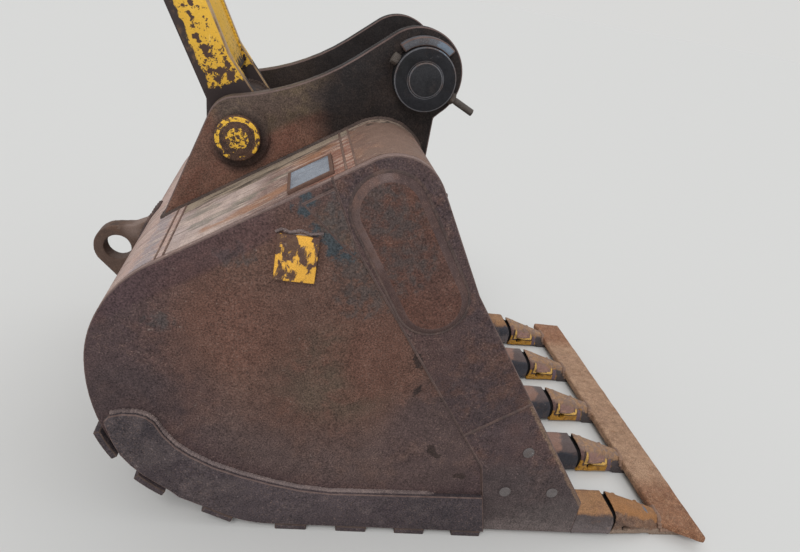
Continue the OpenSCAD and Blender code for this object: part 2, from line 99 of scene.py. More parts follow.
class Graph:
    """Adds nodes to a tree. Sockets and plain values may be mixed freely."""

    def __init__(self, tree):
        self.tree = tree

    def put(self, socket, value):
        if isinstance(value, bpy.types.NodeSocket):
            self.tree.links.new(value, socket)
        elif value is not None:
            socket.default_value = value

    def add(self, kind, inputs=(), **props):
        node = self.tree.nodes.new(kind)
        for key, value in props.items():
            setattr(node, key, value)
        for key, value in dict(inputs).items():
            self.put(node.inputs[key], value)
        return node

    def math(self, op, a, b=None):
        return self.add("ShaderNodeMath", {0: a, 1: b}, operation=op).outputs[0]

    def plus(self, a, b):
        return self.math("ADD", a, b)

    def minus(self, a, b):
        return self.math("SUBTRACT", a, b)

    def times(self, a, b):
        return self.math("MULTIPLY", a, b)

    def larger(self, a, b):
        return self.math("MAXIMUM", a, b)

    def absolute(self, a):
        return self.math("ABSOLUTE", a)

    def away(self, value, middle):
        """How far value is from middle, either way."""
        return self.absolute(self.minus(value, middle))

    def fit(self, value, lo, hi, to_lo=0.0, to_hi=1.0):
        """A smooth step from to_lo to to_hi as value goes from lo to hi."""
        return self.add("ShaderNodeMapRange", {0: value, 1: lo, 2: hi, 3: to_lo, 4: to_hi},
                        interpolation_type="SMOOTHSTEP").outputs[0]

    def fade(self, value, lo, hi):
        """A smooth step down, 1 at lo and 0 at hi."""
        return self.fit(value, lo, hi, 1.0, 0.0)

    def mix(self, share, a, b):
        """A colour between a and b."""
        return self.add("ShaderNodeMix", {0: share, 6: a, 7: b}, data_type="RGBA").outputs[2]

    def scaled(self, vector, factor):
        """A vector or colour, each part times the factor's."""
        return self.add("ShaderNodeVectorMath", {0: vector, 1: factor}, operation="MULTIPLY").outputs[0]

    def noise(self, vector, scale, detail=4.0, rough=0.55, distort=0.0):
        return self.add("ShaderNodeTexNoise", {"Vector": vector, "Scale": scale, "Detail": detail,
                                               "Roughness": rough, "Distortion": distort}).outputs[0]

    def mapping(self, vector, location=(0, 0, 0), turn=(0, 0, 0), scale=(1, 1, 1), kind="TEXTURE"):
        return self.add("ShaderNodeMapping", {"Vector": vector, "Location": location, "Rotation": turn,
                                              "Scale": scale}, vector_type=kind).outputs[0]


def rgba(c):
    return (*c, 1.0)


def socket(tree, name, kind, value=None, out=False):
    item = tree.interface.new_socket(name, in_out="OUTPUT" if out else "INPUT", socket_type="NodeSocket" + kind)
    if value is not None:
        item.default_value = value


COLOURS = ("Base", "Second", "Third", "Speck", "Light")  # of the shared steel


def steel_group():
    """The look all the plates share: two kinds of patches, fine speckle, scratches along a way, and grain."""
    tree = bpy.data.node_groups.get("Worn steel")
    if tree:
        return tree
    tree = bpy.data.node_groups.new("Worn steel", "ShaderNodeTree")
    socket(tree, "Vector", "Vector")
    for name in COLOURS:
        socket(tree, name, "Color", (0.1, 0.1, 0.1, 1.0))
    for name, value in (("Second Amount", 0.45), ("Third Amount", 0.4), ("Speck Amount", 0.3), ("Light Amount", 0.1),
                        ("Grain", 0.3), ("Scale", 1.0), ("Rough Low", 0.6), ("Rough High", 0.9)):
        socket(tree, name, "Float", value)
    socket(tree, "Streak Scale", "Vector", (1.0, 1.0, 1.0))
    for name, kind in (("Color", "Color"), ("Roughness", "Float"), ("Height", "Float"), ("Grain", "Float"),
                       ("Patches", "Float")):
        socket(tree, name, kind, out=True)
    g = Graph(tree)
    i = tree.nodes.new("NodeGroupInput").outputs
    o = tree.nodes.new("NodeGroupOutput").inputs

    def noise(size, *args):
        return g.noise(i["Vector"], g.times(i["Scale"], size), *args)

    big = noise(2.3, 5.0, 0.55, 0.3)
    mid = noise(8.0, 7.0, 0.62, 0.15)
    small = noise(34.0, 5.0, 0.65)
    fine = noise(270.0, 3.0, 0.7)
    speck = noise(330.0, 2.0, 0.5)
    way = g.mapping(i["Vector"], scale=i["Streak Scale"], kind="POINT")
    streak = g.noise(way, 70.0, 5.0, 0.6)
    curl = g.noise(way, 11.0, 2.0, 0.5, 0.6)

    def blend(a, b, share):
        return g.plus(g.times(a, 1 - share), g.times(b, share))

    def mask(value, amount, soft):
        level = g.minus(0.74, g.times(amount, 0.48))
        return g.fit(value, g.minus(level, soft), g.plus(level, soft))

    second = mask(blend(big, mid, 0.35), i["Second Amount"], 0.10)
    third = mask(blend(mid, small, 0.35), i["Third Amount"], 0.08)
    dots = g.times(mask(blend(speck, small, 0.15), i["Speck Amount"], 0.04), 0.55)
    lines = g.times(mask(streak, i["Light Amount"], 0.05), g.fit(mid, 0.44, 0.56))
    scratch = g.fade(g.away(curl, 0.5), 0.001, 0.004)
    scratch = g.times(scratch, mask(mid, i["Light Amount"], 0.06))
    marks = g.larger(lines, scratch)
    colour = g.mix(second, i["Base"], i["Second"])
    colour = g.mix(g.times(third, 0.8), colour, i["Third"])
    colour = g.mix(dots, colour, i["Speck"])
    colour = g.mix(g.times(marks, 0.7), colour, i["Light"])
    uneven = g.plus(g.minus(fine, 0.5), g.times(g.minus(small, 0.5), 0.25))
    grain = g.plus(g.times(g.times(uneven, 2.0), i["Grain"]), 1.0)
    g.put(o["Color"], g.scaled(colour, grain))
    g.put(o["Roughness"], g.fit(g.minus(mid, g.times(marks, 0.2)), 0.35, 0.65,
                                i["Rough Low"], i["Rough High"]))
    height = g.plus(g.times(mid, 0.5), g.times(small, 0.3))
    height = g.plus(height, g.times(fine, 0.3))
    g.put(o["Height"], g.plus(height, g.times(third, 0.12)))
    g.put(o["Grain"], grain)
    g.put(o["Patches"], mid)
    return tree


class Look(Graph):
    """One material: the shared steel, with patches of other colours laid over it."""

    def __init__(self, name, base, second, third, speck, light, amounts=(0.45, 0.4, 0.3, 0.1), grain=0.9,
                 scale=1.0, streak=(1, 1, 1), rough=(0.6, 0.9), metallic=0.0, bump=0.35, specular=0.2):
        self.material = bpy.data.materials.new(name)
        self.material.use_nodes = True
        self.material.diffuse_color = rgba(base)
        super().__init__(self.material.node_tree)
        self.tree.nodes.clear()
        self.where = self.add("ShaderNodeTexCoord").outputs["Object"]
        self.local = self.mapping(self.where, place(0, 0, 0))
        self.steel = self.add("ShaderNodeGroup", {}, node_tree=steel_group())
        settings = {"Vector": self.where, "Grain": grain, "Scale": scale, "Rough Low": rough[0],
                    "Rough High": rough[1], "Streak Scale": streak}
        settings.update(zip(COLOURS, map(rgba, (base, second, third, speck, light))))
        settings.update(zip([name + " Amount" for name in COLOURS[1:]], amounts))
        for key, value in settings.items():
            self.put(self.steel.inputs[key], value)
        self.colour, self.rough, self.height, self.grain, self.patches = self.steel.outputs
        self.metallic, self.bump, self.specular = metallic, bump, specular

    def from_point(self, x, z, lean):
        """Measures from a point (x, z) from here on, along axes leaned back by an angle."""
        self.local = self.mapping(self.where, place(x, 0, z), (0, -lean, 0))

    def axis(self, n):
        return self.add("ShaderNodeSeparateXYZ", {0: self.local}).outputs[n]

    def level(self, start, end):
        """0 at height start, 1 at height end."""
        return self.fit(self.axis(2), start, end)

    def spots(self, centres, across="y"):
        """1 in the middle of any of some ellipses (u, v, half widths, turn), 0 outside them."""
        found = None
        for u, v, ru, rv, *turn in centres:
            turn = math.radians(turn[0]) if turn else 0.0
            if across == "y":
                args = (u, 0, v), (0, -turn, 0), (ru, 30, rv)
            else:
                args = (u, v, 0), (0, 0, turn), (ru, rv, 30)
            one = self.add("ShaderNodeTexGradient", {0: self.mapping(self.local, *args)},
                           gradient_type="SPHERICAL").outputs[0]
            found = one if found is None else self.larger(found, one)
        return found

    def soft(self, *centres, lo=0.0, hi=0.5, across="y"):
        """A soft mask over some ellipses."""
        return self.fit(self.spots(centres, across), lo, hi)

    def uneven(self, reach, lo=0.0, hi=0.5):
        """A soft mask whose edge wanders with the steel's patches. For cover only: a tint feeds the steel itself."""
        return self.fit(self.plus(reach, self.times(self.minus(self.patches, 0.5), 0.3)), lo, hi)

    def broken(self, reach, scale=30.0, amount=0.6, soft=0.05, stretch=(1, 1, 1)):
        """A mask with a ragged edge: where reach (0 to 1) and the noise together pass a level."""
        vector = self.mapping(self.where, scale=stretch, kind="POINT")
        value = self.plus(self.noise(vector, scale, 6.0, 0.65, 0.3), self.times(reach, amount))
        return self.fit(value, 0.5 + amount * 0.5 - soft, 0.5 + amount * 0.5 + soft)

    def patches_at(self, centres, scale, amount, soft):
        """Irregular patches inside some ellipses, their outline mostly the noise's."""
        reach = self.spots(centres)
        return self.times(self.broken(reach, scale, amount, soft), self.fit(reach, 0.0, 0.12))

    def streaks(self, scale, lo, hi, stretch):
        """Long thin marks along a way."""
        return self.fit(self.noise(self.mapping(self.where, scale=stretch, kind="POINT"), scale, 5.0, 0.65), lo, hi)

    def tint(self, mask, *colours):
        """Changes the steel's own colours where mask is 1, in their order. None leaves one as it is."""
        for name, colour in zip(COLOURS, colours):
            if colour:
                sock = self.steel.inputs[name]
                before = sock.links[0].from_socket if sock.is_linked else tuple(sock.default_value)
                self.put(sock, self.mix(mask, before, rgba(colour)))

    def cover(self, mask, colour, rough=None, height=0.0, share=None):
        """Lays a colour over what is there, where mask is 1, or a share of it."""
        if share is not None:
            mask = self.times(mask, share)
        self.colour = self.mix(mask, self.colour, self.scaled(colour, self.grain))
        if rough is not None:
            self.rough = self.add("ShaderNodeMix", {0: mask, 2: self.rough, 3: rough}, data_type="FLOAT").outputs[0]
        if height:
            self.height = self.plus(self.height, self.times(mask, height))

    def done(self):
        bump = self.add("ShaderNodeBump", {"Strength": self.bump, "Distance": 0.004, "Height": self.height}).outputs[0]
        shader = self.add("ShaderNodeBsdfPrincipled", {"Base Color": self.colour, "Roughness": self.rough,
                                                       "Normal": bump, "Metallic": self.metallic,
                                                       "Specular IOR Level": self.specular})
        self.put(self.add("ShaderNodeOutputMaterial").inputs[0], shader.outputs[0])
        return self.material


# Colours, linear, as a matt surface would have them
BROWN = (0.113, 0.061, 0.046)
PURPLE = (0.075, 0.047, 0.046)
PLUM = (0.060, 0.041, 0.043)
SOOT = (0.022, 0.019, 0.021)
REDDISH = (0.135, 0.060, 0.042)
OLIVE = (0.102, 0.069, 0.050)
SPECK = (0.165, 0.112, 0.092)
MAUVE = (0.150, 0.108, 0.105)
PINK = (0.200, 0.135, 0.118)
ORANGE = (0.300, 0.150, 0.085)
TAN = (0.330, 0.225, 0.165)
DUST = (0.420, 0.320, 0.275)
GREY_GREEN = (0.190, 0.175, 0.140)
BLUE_GREY = (0.200, 0.205, 0.235)
YELLOW = (0.760, 0.445, 0.050)
TEAL = (0.048, 0.058, 0.066)
STEEL = (0.250, 0.200, 0.175)
ALONG_SLOPE, ACROSS = (0.12, 1, 0.12), (1, 0.12, 1)  # stretches of a noise, small where its marks run long
# Dark scuffs on the side and the cheek
SCUFFS = ((0.718, 0.521, 0.018, 0.040, 20), (0.733, 0.434, 0.014, 0.030, -20), (0.808, 0.256, 0.046, 0.016, -45),
          (0.886, 0.188, 0.026, 0.014))
# Larger chips in the link's paint, along and up the link from its pin
CHIPS = ((0.004, 0.196, 0.024, 0.032), (-0.008, 0.232, 0.013, 0.036), (-0.004, 0.275, 0.012, 0.024),
         (0.009, 0.3, 0.01, 0.013), (-0.009, 0.15, 0.015, 0.02), (0.012, 0.142, 0.022, 0.02),
         (0.033, 0.159, 0.01, 0.024), (0.03, 0.126, 0.022, 0.018), (0.0, 0.127, 0.016, 0.016),
         (-0.012, 0.3, 0.012, 0.014), (0.02, 0.36, 0.014, 0.02), (-0.015, 0.42, 0.018, 0.014))


def plate_looks():
    """The sides: dark reddish brown, purple towards the rear and below, with small teal patches of old paint."""
    side = Look("Side plate", (0.074, 0.046, 0.046), (0.062, 0.041, 0.042), (0.088, 0.052, 0.046), SPECK, STEEL,
                (0.45, 0.4, 0.28, 0.05), 1.6)
    side.tint(side.soft((0.6, 0.3, 0.42, 0.2), hi=0.4), (0.094, 0.062, 0.057), (0.08, 0.054, 0.05),
              (0.104, 0.064, 0.054))
    side.tint(side.soft((0.52, 0.58, 0.48, 0.4), lo=0.05), BROWN, (0.096, 0.054, 0.043), (0.12, 0.06, 0.044))
    side.tint(side.soft((0.8, 0.3, 0.16, 0.22)), (0.078, 0.05, 0.047), (0.07, 0.046, 0.044))
    side.tint(side.soft((0.53, 0.45, 0.17, 0.16), (0.51, 0.83, 0.08, 0.06)), OLIVE)
    side.tint(side.soft((0.3, 0.55, 0.16, 0.14), (0.62, 0.52, 0.1, 0.15)), (0.122, 0.06, 0.044))
    teal = side.patches_at([(0.424, 0.862, 0.034, 0.056), (0.491, 0.773, 0.085, 0.032, -37)], 50, 0.35, 0.08)
    side.cover(teal, TEAL)
    faint = side.patches_at([(0.296, 0.729, 0.05, 0.036), (0.575, 0.676, 0.08, 0.08), (0.5, 0.829, 0.08, 0.08),
                             (0.545, 0.72, 0.09, 0.055, -50), (0.15, 0.56, 0.04, 0.03)], 48, 0.22, 0.12)
    side.cover(faint, (0.052, 0.058, 0.06), share=0.5)
    side.cover(side.patches_at(SCUFFS, 60, 0.45, 0.05), (0.04, 0.026, 0.023))
    side.cover(side.broken(side.spots([(0.709, 0.824, 0.022, 0.012), (0.635, 0.967, 0.02, 0.01),
                                       (0.415, 0.787, 0.05, 0.007, 4)]), 60), (0.3, 0.24, 0.22))
    marks = side.times(side.streaks(52, 0.69, 0.72, (0.5, 1, 1.4)), side.fit(side.patches, 0.46, 0.54))
    side.cover(marks, (0.25, 0.185, 0.165), share=0.6)
    side.cover(side.uneven(side.spots([(0.09, 0.36, 0.14, 0.11)])), (0.052, 0.037, 0.038), share=0.6)
    side.from_point(*TOP_START, TOP_SLOPE)
    below_top = side.times(side.fit(side.axis(2), -0.085, -0.04), side.fit(side.axis(0), 0.34, 0.2))
    side.cover(side.uneven(below_top, 0.2, 0.8), (0.066, 0.038, 0.043), share=0.5)
    cheek = Look("Cheek plate", (0.08, 0.046, 0.042), PLUM, (0.098, 0.052, 0.04), SPECK, STEEL,
                 (0.45, 0.4, 0.28, 0.06), 1.6)
    cheek.tint(cheek.fit(cheek.level(0.3, 0.1), 0.0, 0.5), (0.064, 0.047, 0.046), (0.054, 0.04, 0.041),
               (0.076, 0.053, 0.049), MAUVE)
    cheek.tint(cheek.soft((1.32, 0.04, 0.38, 0.13)), (0.088, 0.07, 0.067), (0.074, 0.058, 0.057), (0.1, 0.077, 0.072))
    cheek.cover(cheek.broken(cheek.level(0.085, 0.01), 60, 0.45, 0.2), (0.15, 0.118, 0.112), share=0.7)
    cheek.cover(cheek.patches_at(SCUFFS, 60, 0.45, 0.05), (0.034, 0.023, 0.021))
    cheek.from_point(*MOUTH_BEND, -MOUTH_SLOPE)
    worn = cheek.times(cheek.fit(cheek.axis(2), -0.018, -0.004), cheek.fit(cheek.axis(0), 0.28, 0.36))
    cheek.cover(cheek.broken(worn, 40, 0.6, 0.14), (0.155, 0.102, 0.074))
    wear = Look("Wear plate", (0.104, 0.047, 0.034), (0.082, 0.043, 0.035), (0.118, 0.056, 0.04), SPECK, STEEL,
                (0.45, 0.4, 0.26, 0.06), 1.6)
    wear.tint(wear.level(0.37, 0.33), (0.054, 0.04, 0.044), (0.04, 0.033, 0.037), (0.076, 0.06, 0.061), None,
              (0.26, 0.22, 0.21))
    wear.tint(wear.soft((0.45, 0.1, 0.3, 0.1)), (0.066, 0.05, 0.054), None, (0.092, 0.07, 0.07))
    faint = wear.patches_at([(0.562, 0.893, 0.09, 0.06), (0.604, 0.846, 0.09, 0.07), (0.64, 0.76, 0.08, 0.09)], 48,
                            0.2, 0.12)
    wear.cover(faint, (0.05, 0.058, 0.06), share=0.45)
    return {"side_plate": side, "cheek": cheek, "wear_plate": wear}


def sheet_looks():
    """The sheets that the sun and the dirt reach: pinkish tan below, orange above, scratched along the slope."""
    top = Look("Top sheet", (0.215, 0.142, 0.122), (0.15, 0.095, 0.08), (0.27, 0.18, 0.15), DUST, DUST,
               (0.45, 0.45, 0.3, 0.3), 0.9, 1.3, ALONG_SLOPE, bump=0.5)
    top.from_point(*TOP_START, TOP_SLOPE)
    low = top.soft((0.02, -0.43, 0.26, 0.22), (0.16, -0.3, 0.12, 0.14), (0.02, 0.43, 0.26, 0.22), across="z")
    top.tint(low, (0.44, 0.345, 0.315), (0.33, 0.25, 0.225), (0.5, 0.395, 0.345))
    top.tint(top.soft((0.43, -0.42, 0.13, 0.2), (0.43, 0.42, 0.13, 0.2), across="z"), (0.24, 0.112, 0.08),
             (0.18, 0.088, 0.066), (0.29, 0.15, 0.098))
    stretch = (0.45, 1, 0.45)
    rusty = top.spots([(0.19, -0.474, 0.13, 0.04), (0.3, -0.44, 0.1, 0.05), (0.36, -0.3, 0.1, 0.08),
                       (0.25, 0.44, 0.15, 0.07)], "z")
    top.cover(top.broken(rusty, 26, 0.5, 0.1, stretch), ORANGE, share=0.75)
    green = top.spots([(0.13, -0.415, 0.11, 0.045), (0.21, -0.39, 0.09, 0.035), (0.09, -0.33, 0.08, 0.05),
                       (0.3, -0.35, 0.08, 0.03)], "z")
    top.cover(top.broken(green, 30, 0.5, 0.1, stretch), GREY_GREEN, share=0.7)
    top.cover(top.streaks(95, 0.53, 0.61, ALONG_SLOPE), (0.52, 0.4, 0.335), share=0.65)
    top.cover(top.streaks(60, 0.6, 0.66, (0.08, 1.2, 0.08)), (0.11, 0.078, 0.064), share=0.65)
    dirt = top.fade(top.away(top.absolute(top.axis(1)), 0.215), 0.01, 0.11)
    top.cover(top.broken(dirt, 30, 0.35, 0.05, ALONG_SLOPE), (0.165, 0.13, 0.096))
    top.cover(top.broken(top.times(dirt, 0.72), 40, 0.35, 0.06, (0.3, 1, 0.3)), (0.055, 0.042, 0.036), share=0.7)
    top.cover(top.broken(top.times(dirt, 0.74), 75, 0.35, 0.04, ALONG_SLOPE), (0.38, 0.3, 0.225), share=0.75)
    bands = top.away(top.away(top.axis(0), 0.019), 0.009)
    top.cover(top.uneven(top.fade(bands, 0.0, 0.008), 0.2, 0.8), (0.2, 0.118, 0.092), share=0.7)
    heel = Look("Heel sheet", (0.44, 0.31, 0.27), (0.36, 0.26, 0.235), (0.4, 0.255, 0.205), DUST, DUST,
                (0.45, 0.4, 0.3, 0.3), 0.9, 1.2, ALONG_SLOPE)
    heel.tint(heel.level(0.66, 0.5), (0.12, 0.074, 0.062), PURPLE, (0.16, 0.095, 0.07))
    heel.cover(heel.patches_at([(0.115, 0.67, 0.045, 0.045)], 40, 0.3, 0.1), BLUE_GREY, share=0.5)
    heel.cover(heel.times(heel.streaks(85, 0.54, 0.64, ALONG_SLOPE), heel.level(0.5, 0.6)), (0.48, 0.38, 0.32))
    heel.cover(heel.streaks(50, 0.58, 0.66, (0.08, 1.2, 0.08)), (0.17, 0.115, 0.095), share=0.7)
    tube = Look("Torque tube", (0.172, 0.102, 0.082), (0.14, 0.075, 0.06), (0.245, 0.14, 0.095), TAN, DUST,
                (0.45, 0.45, 0.35, 0.25), 0.9, 1.3, ALONG_SLOPE, bump=0.5)
    tube.cover(tube.broken(tube.level(0.93, 0.99), 24, 0.4, 0.1), (0.195, 0.125, 0.096))
    beside = tube.away(tube.absolute(tube.axis(1)), 0.209)
    dirt = tube.times(tube.fade(beside, 0.005, 0.07), tube.level(0.86, 0.93))
    tube.cover(tube.broken(dirt, 45, 0.35, 0.05, (0.5, 1, 0.5)), (0.07, 0.053, 0.044))
    tube.cover(tube.broken(tube.times(dirt, 0.7), 90, 0.35, 0.04, (0.5, 1, 0.5)), (0.3, 0.225, 0.175))
    inside = Look("Inside", (0.19, 0.12, 0.086), (0.12, 0.075, 0.056), (0.235, 0.122, 0.07), SPECK,
                  (0.3, 0.225, 0.18), (0.4, 0.5, 0.3, 0.16), 0.7, 1.0, (0.15, 1, 1), rough=(0.5, 0.8), metallic=0.1)
    return {"top_sheet": top, "heel_sheet": heel, "tube": tube, "inside": inside}


def ear_looks():
    """The ears and what turns in them: greasy, nearly black at the stick pin, rusty at the heel."""
    ear = Look("Ear", (0.108, 0.072, 0.056), (0.08, 0.056, 0.045), (0.115, 0.083, 0.053), SPECK, STEEL,
               (0.45, 0.45, 0.26, 0.05), 1.5, 1.2)
    ear.tint(ear.soft((0.12, 0.76, 0.18, 0.24), (0.4, 0.87, 0.24, 0.08, 34), hi=0.3), (0.175, 0.088, 0.06),
             (0.125, 0.068, 0.05), REDDISH)
    ear.tint(ear.soft((0.7, 1.02, 0.34, 0.33), (0.6, 1.14, 0.14, 0.14), lo=0.06, hi=0.36), (0.02, 0.015, 0.014),
             (0.015, 0.013, 0.014), (0.03, 0.021, 0.018), (0.05, 0.04, 0.035))
    # Dark round the link pin's head, reaching further below and to the right: grease, with a painted shadow of the
    # head.
    ear.cover(ear.uneven(ear.spots([(0.272, 0.876, 0.085, 0.09)]), 0.05, 0.4), (0.034, 0.024, 0.022), share=0.85)
    ear.cover(ear.fade(ear.absolute(ear.axis(1)), 0.172, 0.178), (0.016, 0.013, 0.013), share=0.8)
    greasy = Look("Greased steel", (0.015, 0.015, 0.018), (0.009, 0.009, 0.01), (0.028, 0.022, 0.022),
                  (0.05, 0.046, 0.046), (0.11, 0.105, 0.105), (0.5, 0.3, 0.25, 0.1), 0.9, 2.0, rough=(0.5, 0.8),
                  specular=0.2)
    guard = Look("Collar guard", (0.11, 0.11, 0.12), (0.065, 0.062, 0.068), (0.12, 0.085, 0.072), (0.2, 0.2, 0.21),
                 (0.26, 0.27, 0.29), (0.5, 0.4, 0.3, 0.15), 0.5, 2.0)
    guard.cover(guard.broken(guard.spots([(0.715, 1.17, 0.05, 0.05)]), 40), (0.16, 0.195, 0.24))
    pin = Look("Pin head", (0.08, 0.042, 0.03), SOOT, (0.12, 0.058, 0.036), (0.3, 0.2, 0.12), (0.42, 0.34, 0.26),
               (0.45, 0.4, 0.3, 0.1), 0.9, 2.5)
    out = pin.spots([(*LINK_PIN, 0.053, 0.053)])
    ring = pin.times(pin.fit(out, 0.02, 0.035), pin.fade(out, 0.2, 0.26))
    whole = pin.plus(0.3, pin.times(pin.spots([(0.262, 0.925, 0.09, 0.09)]), 0.52))
    pin.cover(pin.broken(pin.times(ring, whole), 60, 0.35, 0.03), YELLOW, 0.5, 0.3)
    middle = pin.times(pin.fit(out, 0.46, 0.54), pin.fit(out, 0.75, 0.98, 1.0, 0.6))
    pin.cover(pin.broken(pin.times(middle, 0.5), 130, 0.35, 0.03), YELLOW, 0.5, 0.3)
    pin.cover(pin.fade(pin.away(out, 0.3), 0.005, 0.015), (0.02, 0.012, 0.012), share=0.7)
    stick = Look("Stick pin", (0.019, 0.019, 0.022), (0.011, 0.011, 0.013), (0.03, 0.025, 0.025), (0.07, 0.07, 0.07),
                 (0.16, 0.16, 0.16), (0.4, 0.3, 0.35, 0.1), 0.9, 2.5, rough=(0.45, 0.75), specular=0.2)
    bolt = Look("Bolt", (0.085, 0.07, 0.06), (0.045, 0.036, 0.032), (0.12, 0.075, 0.052), (0.22, 0.19, 0.17),
                (0.3, 0.3, 0.3), (0.4, 0.3, 0.3, 0.1), 0.4, 3.0, specular=0.3)
    eye = Look("Lifting eye", (0.095, 0.06, 0.046), (0.06, 0.042, 0.037), (0.13, 0.078, 0.055), SPECK, STEEL,
               (0.45, 0.4, 0.3, 0.1), 0.5, 1.6)
    eye.tint(eye.soft((0.02, 0.56, 0.08, 0.06)), (0.21, 0.15, 0.125))
    return {"ear": ear, "greasy": greasy, "guard": guard, "pin": pin, "stick_pin": stick, "bolt": bolt, "eye": eye}


def tooth_looks():
    """Adapters, tips and the bar: dark castings with rust on top and leftover yellow on the tips' flanks."""
    looks = {}
    flank = ((0.042, 0.042, 0.052), (0.027, 0.027, 0.034), (0.075, 0.052, 0.048))
    for name, top in (("adapter", (0.215, 0.12, 0.09)), ("corner_adapter", (0.205, 0.108, 0.062))):
        corner = name == "corner_adapter"
        look = Look("Adapter " + name, *flank, SPECK, STEEL, (0.45, 0.35, 0.22, 0.08), 1.0, 1.0 if corner else 1.8,
                    rough=(0.6, 0.9) if corner else (0.4, 0.65), bump=0.5, specular=0.2 if corner else 0.3)
        if corner:
            outer = look.fit(look.absolute(look.axis(1)), 0.535, 0.545)
            look.tint(outer, (0.09, 0.072, 0.069), (0.076, 0.06, 0.059), (0.103, 0.08, 0.075), MAUVE)
            look.cover(look.broken(look.level(0.085, 0.01), 60, 0.45, 0.2), (0.15, 0.122, 0.12), share=0.7)
            look.cover(look.broken(look.level(0.07, 0.1), 22, 0.45, 0.12), top)
            look.cover(look.broken(look.times(look.level(0.07, 0.095), 0.7), 30, 0.4, 0.14), (0.29, 0.155, 0.075),
                       share=0.8)
        else:
            look.cover(look.broken(look.level(0.068, 0.092), 20, 0.5, 0.12), (0.095, 0.068, 0.064))
            look.cover(look.broken(look.spots([(1.275, 0.1, 0.062, 0.036)]), 24, 0.7, 0.1), top)
        # Near-black on the adapter's front outside an arc round the tip's rear edge: a painted shadow in the gap
        # between adapter and tip.
        front = look.fit(look.axis(0), 1.28, 1.29)
        gap_shadow = look.times(front, look.fade(look.spots([(1.267, 0.038, 0.0905, 0.0905)]), 0.0, 0.01))
        look.cover(gap_shadow, (0.006, 0.005, 0.006), 0.9)
        looks[name] = look
    for name, base, third in (("tip_yellow", (0.115, 0.068, 0.052), (0.165, 0.1, 0.08)),
                              ("tip_rusty", (0.135, 0.074, 0.05), (0.19, 0.098, 0.055))):
        look = Look("Tooth " + name, base, (0.075, 0.05, 0.042), third, (0.3, 0.22, 0.16), TAN,
                    (0.4, 0.45, 0.35, 0.15), 1.4, 1.8, bump=0.6)
        x, z = look.axis(0), look.axis(2)
        below = look.minus(look.minus(0.099, look.times(look.minus(x, 1.357), 0.31)), z)
        ridge = look.broken(look.fade(below, 0.002, 0.026), 24, 0.45, 0.1)
        if name == "tip_yellow":
            paint = look.times(look.fit(x, 1.352, 1.366), look.fade(z, 0.04, 0.066))
            look.cover(look.broken(paint, 34, 0.5, 0.08), (0.21, 0.1, 0.025), 0.6)
            look.cover(look.broken(look.times(paint, 0.66), 70, 0.4, 0.04), (0.37, 0.184, 0.026), 0.5)
            look.cover(look.broken(look.fit(z, 0.048, 0.054), 40, 0.3, 0.1), (0.13, 0.076, 0.066))
            out = look.larger(*[look.math("DIVIDE", look.away(a, middle), half)
                                for a, middle, half in ((x, 1.4215, 0.036), (z, 0.072, 0.033))])
            off = look.away(out, 1.0)
            line = look.times(look.fade(off, 0.04, 0.16), look.fade(z, 0.084, 0.092))
            # Dark round the raised rim, left showing just outside it: a painted shadow of the rim on the flank.
            beside = look.times(look.fade(off, 0.16, 0.4), 0.8)
            look.cover(look.broken(beside, 60, 0.5, 0.1), (0.048, 0.03, 0.03), 0.7)
            look.cover(look.broken(look.fade(out, 0.8, 0.95), 70, 0.4, 0.15), (0.255, 0.15, 0.125), share=0.8)
            look.cover(look.broken(line, 90, 0.5, 0.06), (0.52, 0.31, 0.085), 0.5)
            # Near-black at the retaining hole: painted shade in the hole.
            hole = look.fit(look.spots([(1.406, 0.031, 0.011, 0.01)]), 0.15, 0.35)
            look.cover(hole, (0.02, 0.011, 0.013), 0.9)
            look.cover(look.broken(look.fit(x, 1.468, 1.495), 40, 0.5, 0.08), (0.062, 0.05, 0.05))
            stripe = look.times(look.fit(x, 1.462, 1.468), look.fade(x, 1.476, 1.484))
            look.cover(look.broken(look.times(stripe, look.fade(z, 0.04, 0.055)), 30, 0.8), (0.12, 0.08, 0.095))
            look.cover(ridge, (0.205, 0.135, 0.105))
            look.cover(look.broken(look.times(look.fade(below, 0.0, 0.03), 0.55), 60, 0.4, 0.08), (0.29, 0.17, 0.095))
        else:
            look.cover(ridge, (0.27, 0.13, 0.055))
            look.cover(look.broken(look.fit(z, 0.04, 0.006), 30, 0.45, 0.1), (0.23, 0.165, 0.125))
            look.cover(look.broken(look.spots([(1.478, 0.068, 0.018, 0.016)]), 40, 0.9), (0.13, 0.135, 0.16))
        looks[name] = look
    bar = Look("Edge bar", (0.2, 0.084, 0.044), (0.17, 0.078, 0.044), (0.23, 0.108, 0.06), (0.33, 0.2, 0.12), TAN,
               (0.45, 0.5, 0.4, 0.15), 1.9, 1.6, ACROSS, bump=0.8)
    middle = bar.fit(bar.fade(bar.away(bar.axis(1), 0.02), 0.24, 0.48), 0.0, 0.5)
    bar.tint(middle, (0.29, 0.172, 0.108), (0.245, 0.142, 0.09), (0.345, 0.22, 0.145))
    bar.cover(bar.streaks(110, 0.52, 0.62, (1, 0.5, 1)), (0.38, 0.24, 0.15), share=0.35)
    bar.cover(bar.streaks(34, 0.56, 0.7, (1, 1, 1)), (0.225, 0.1, 0.048), share=0.5)
    bar.cover(bar.streaks(130, 0.6, 0.66, (1, 1, 1)), (0.085, 0.046, 0.032), share=0.35)
    looks["edge_bar"] = bar
    return looks


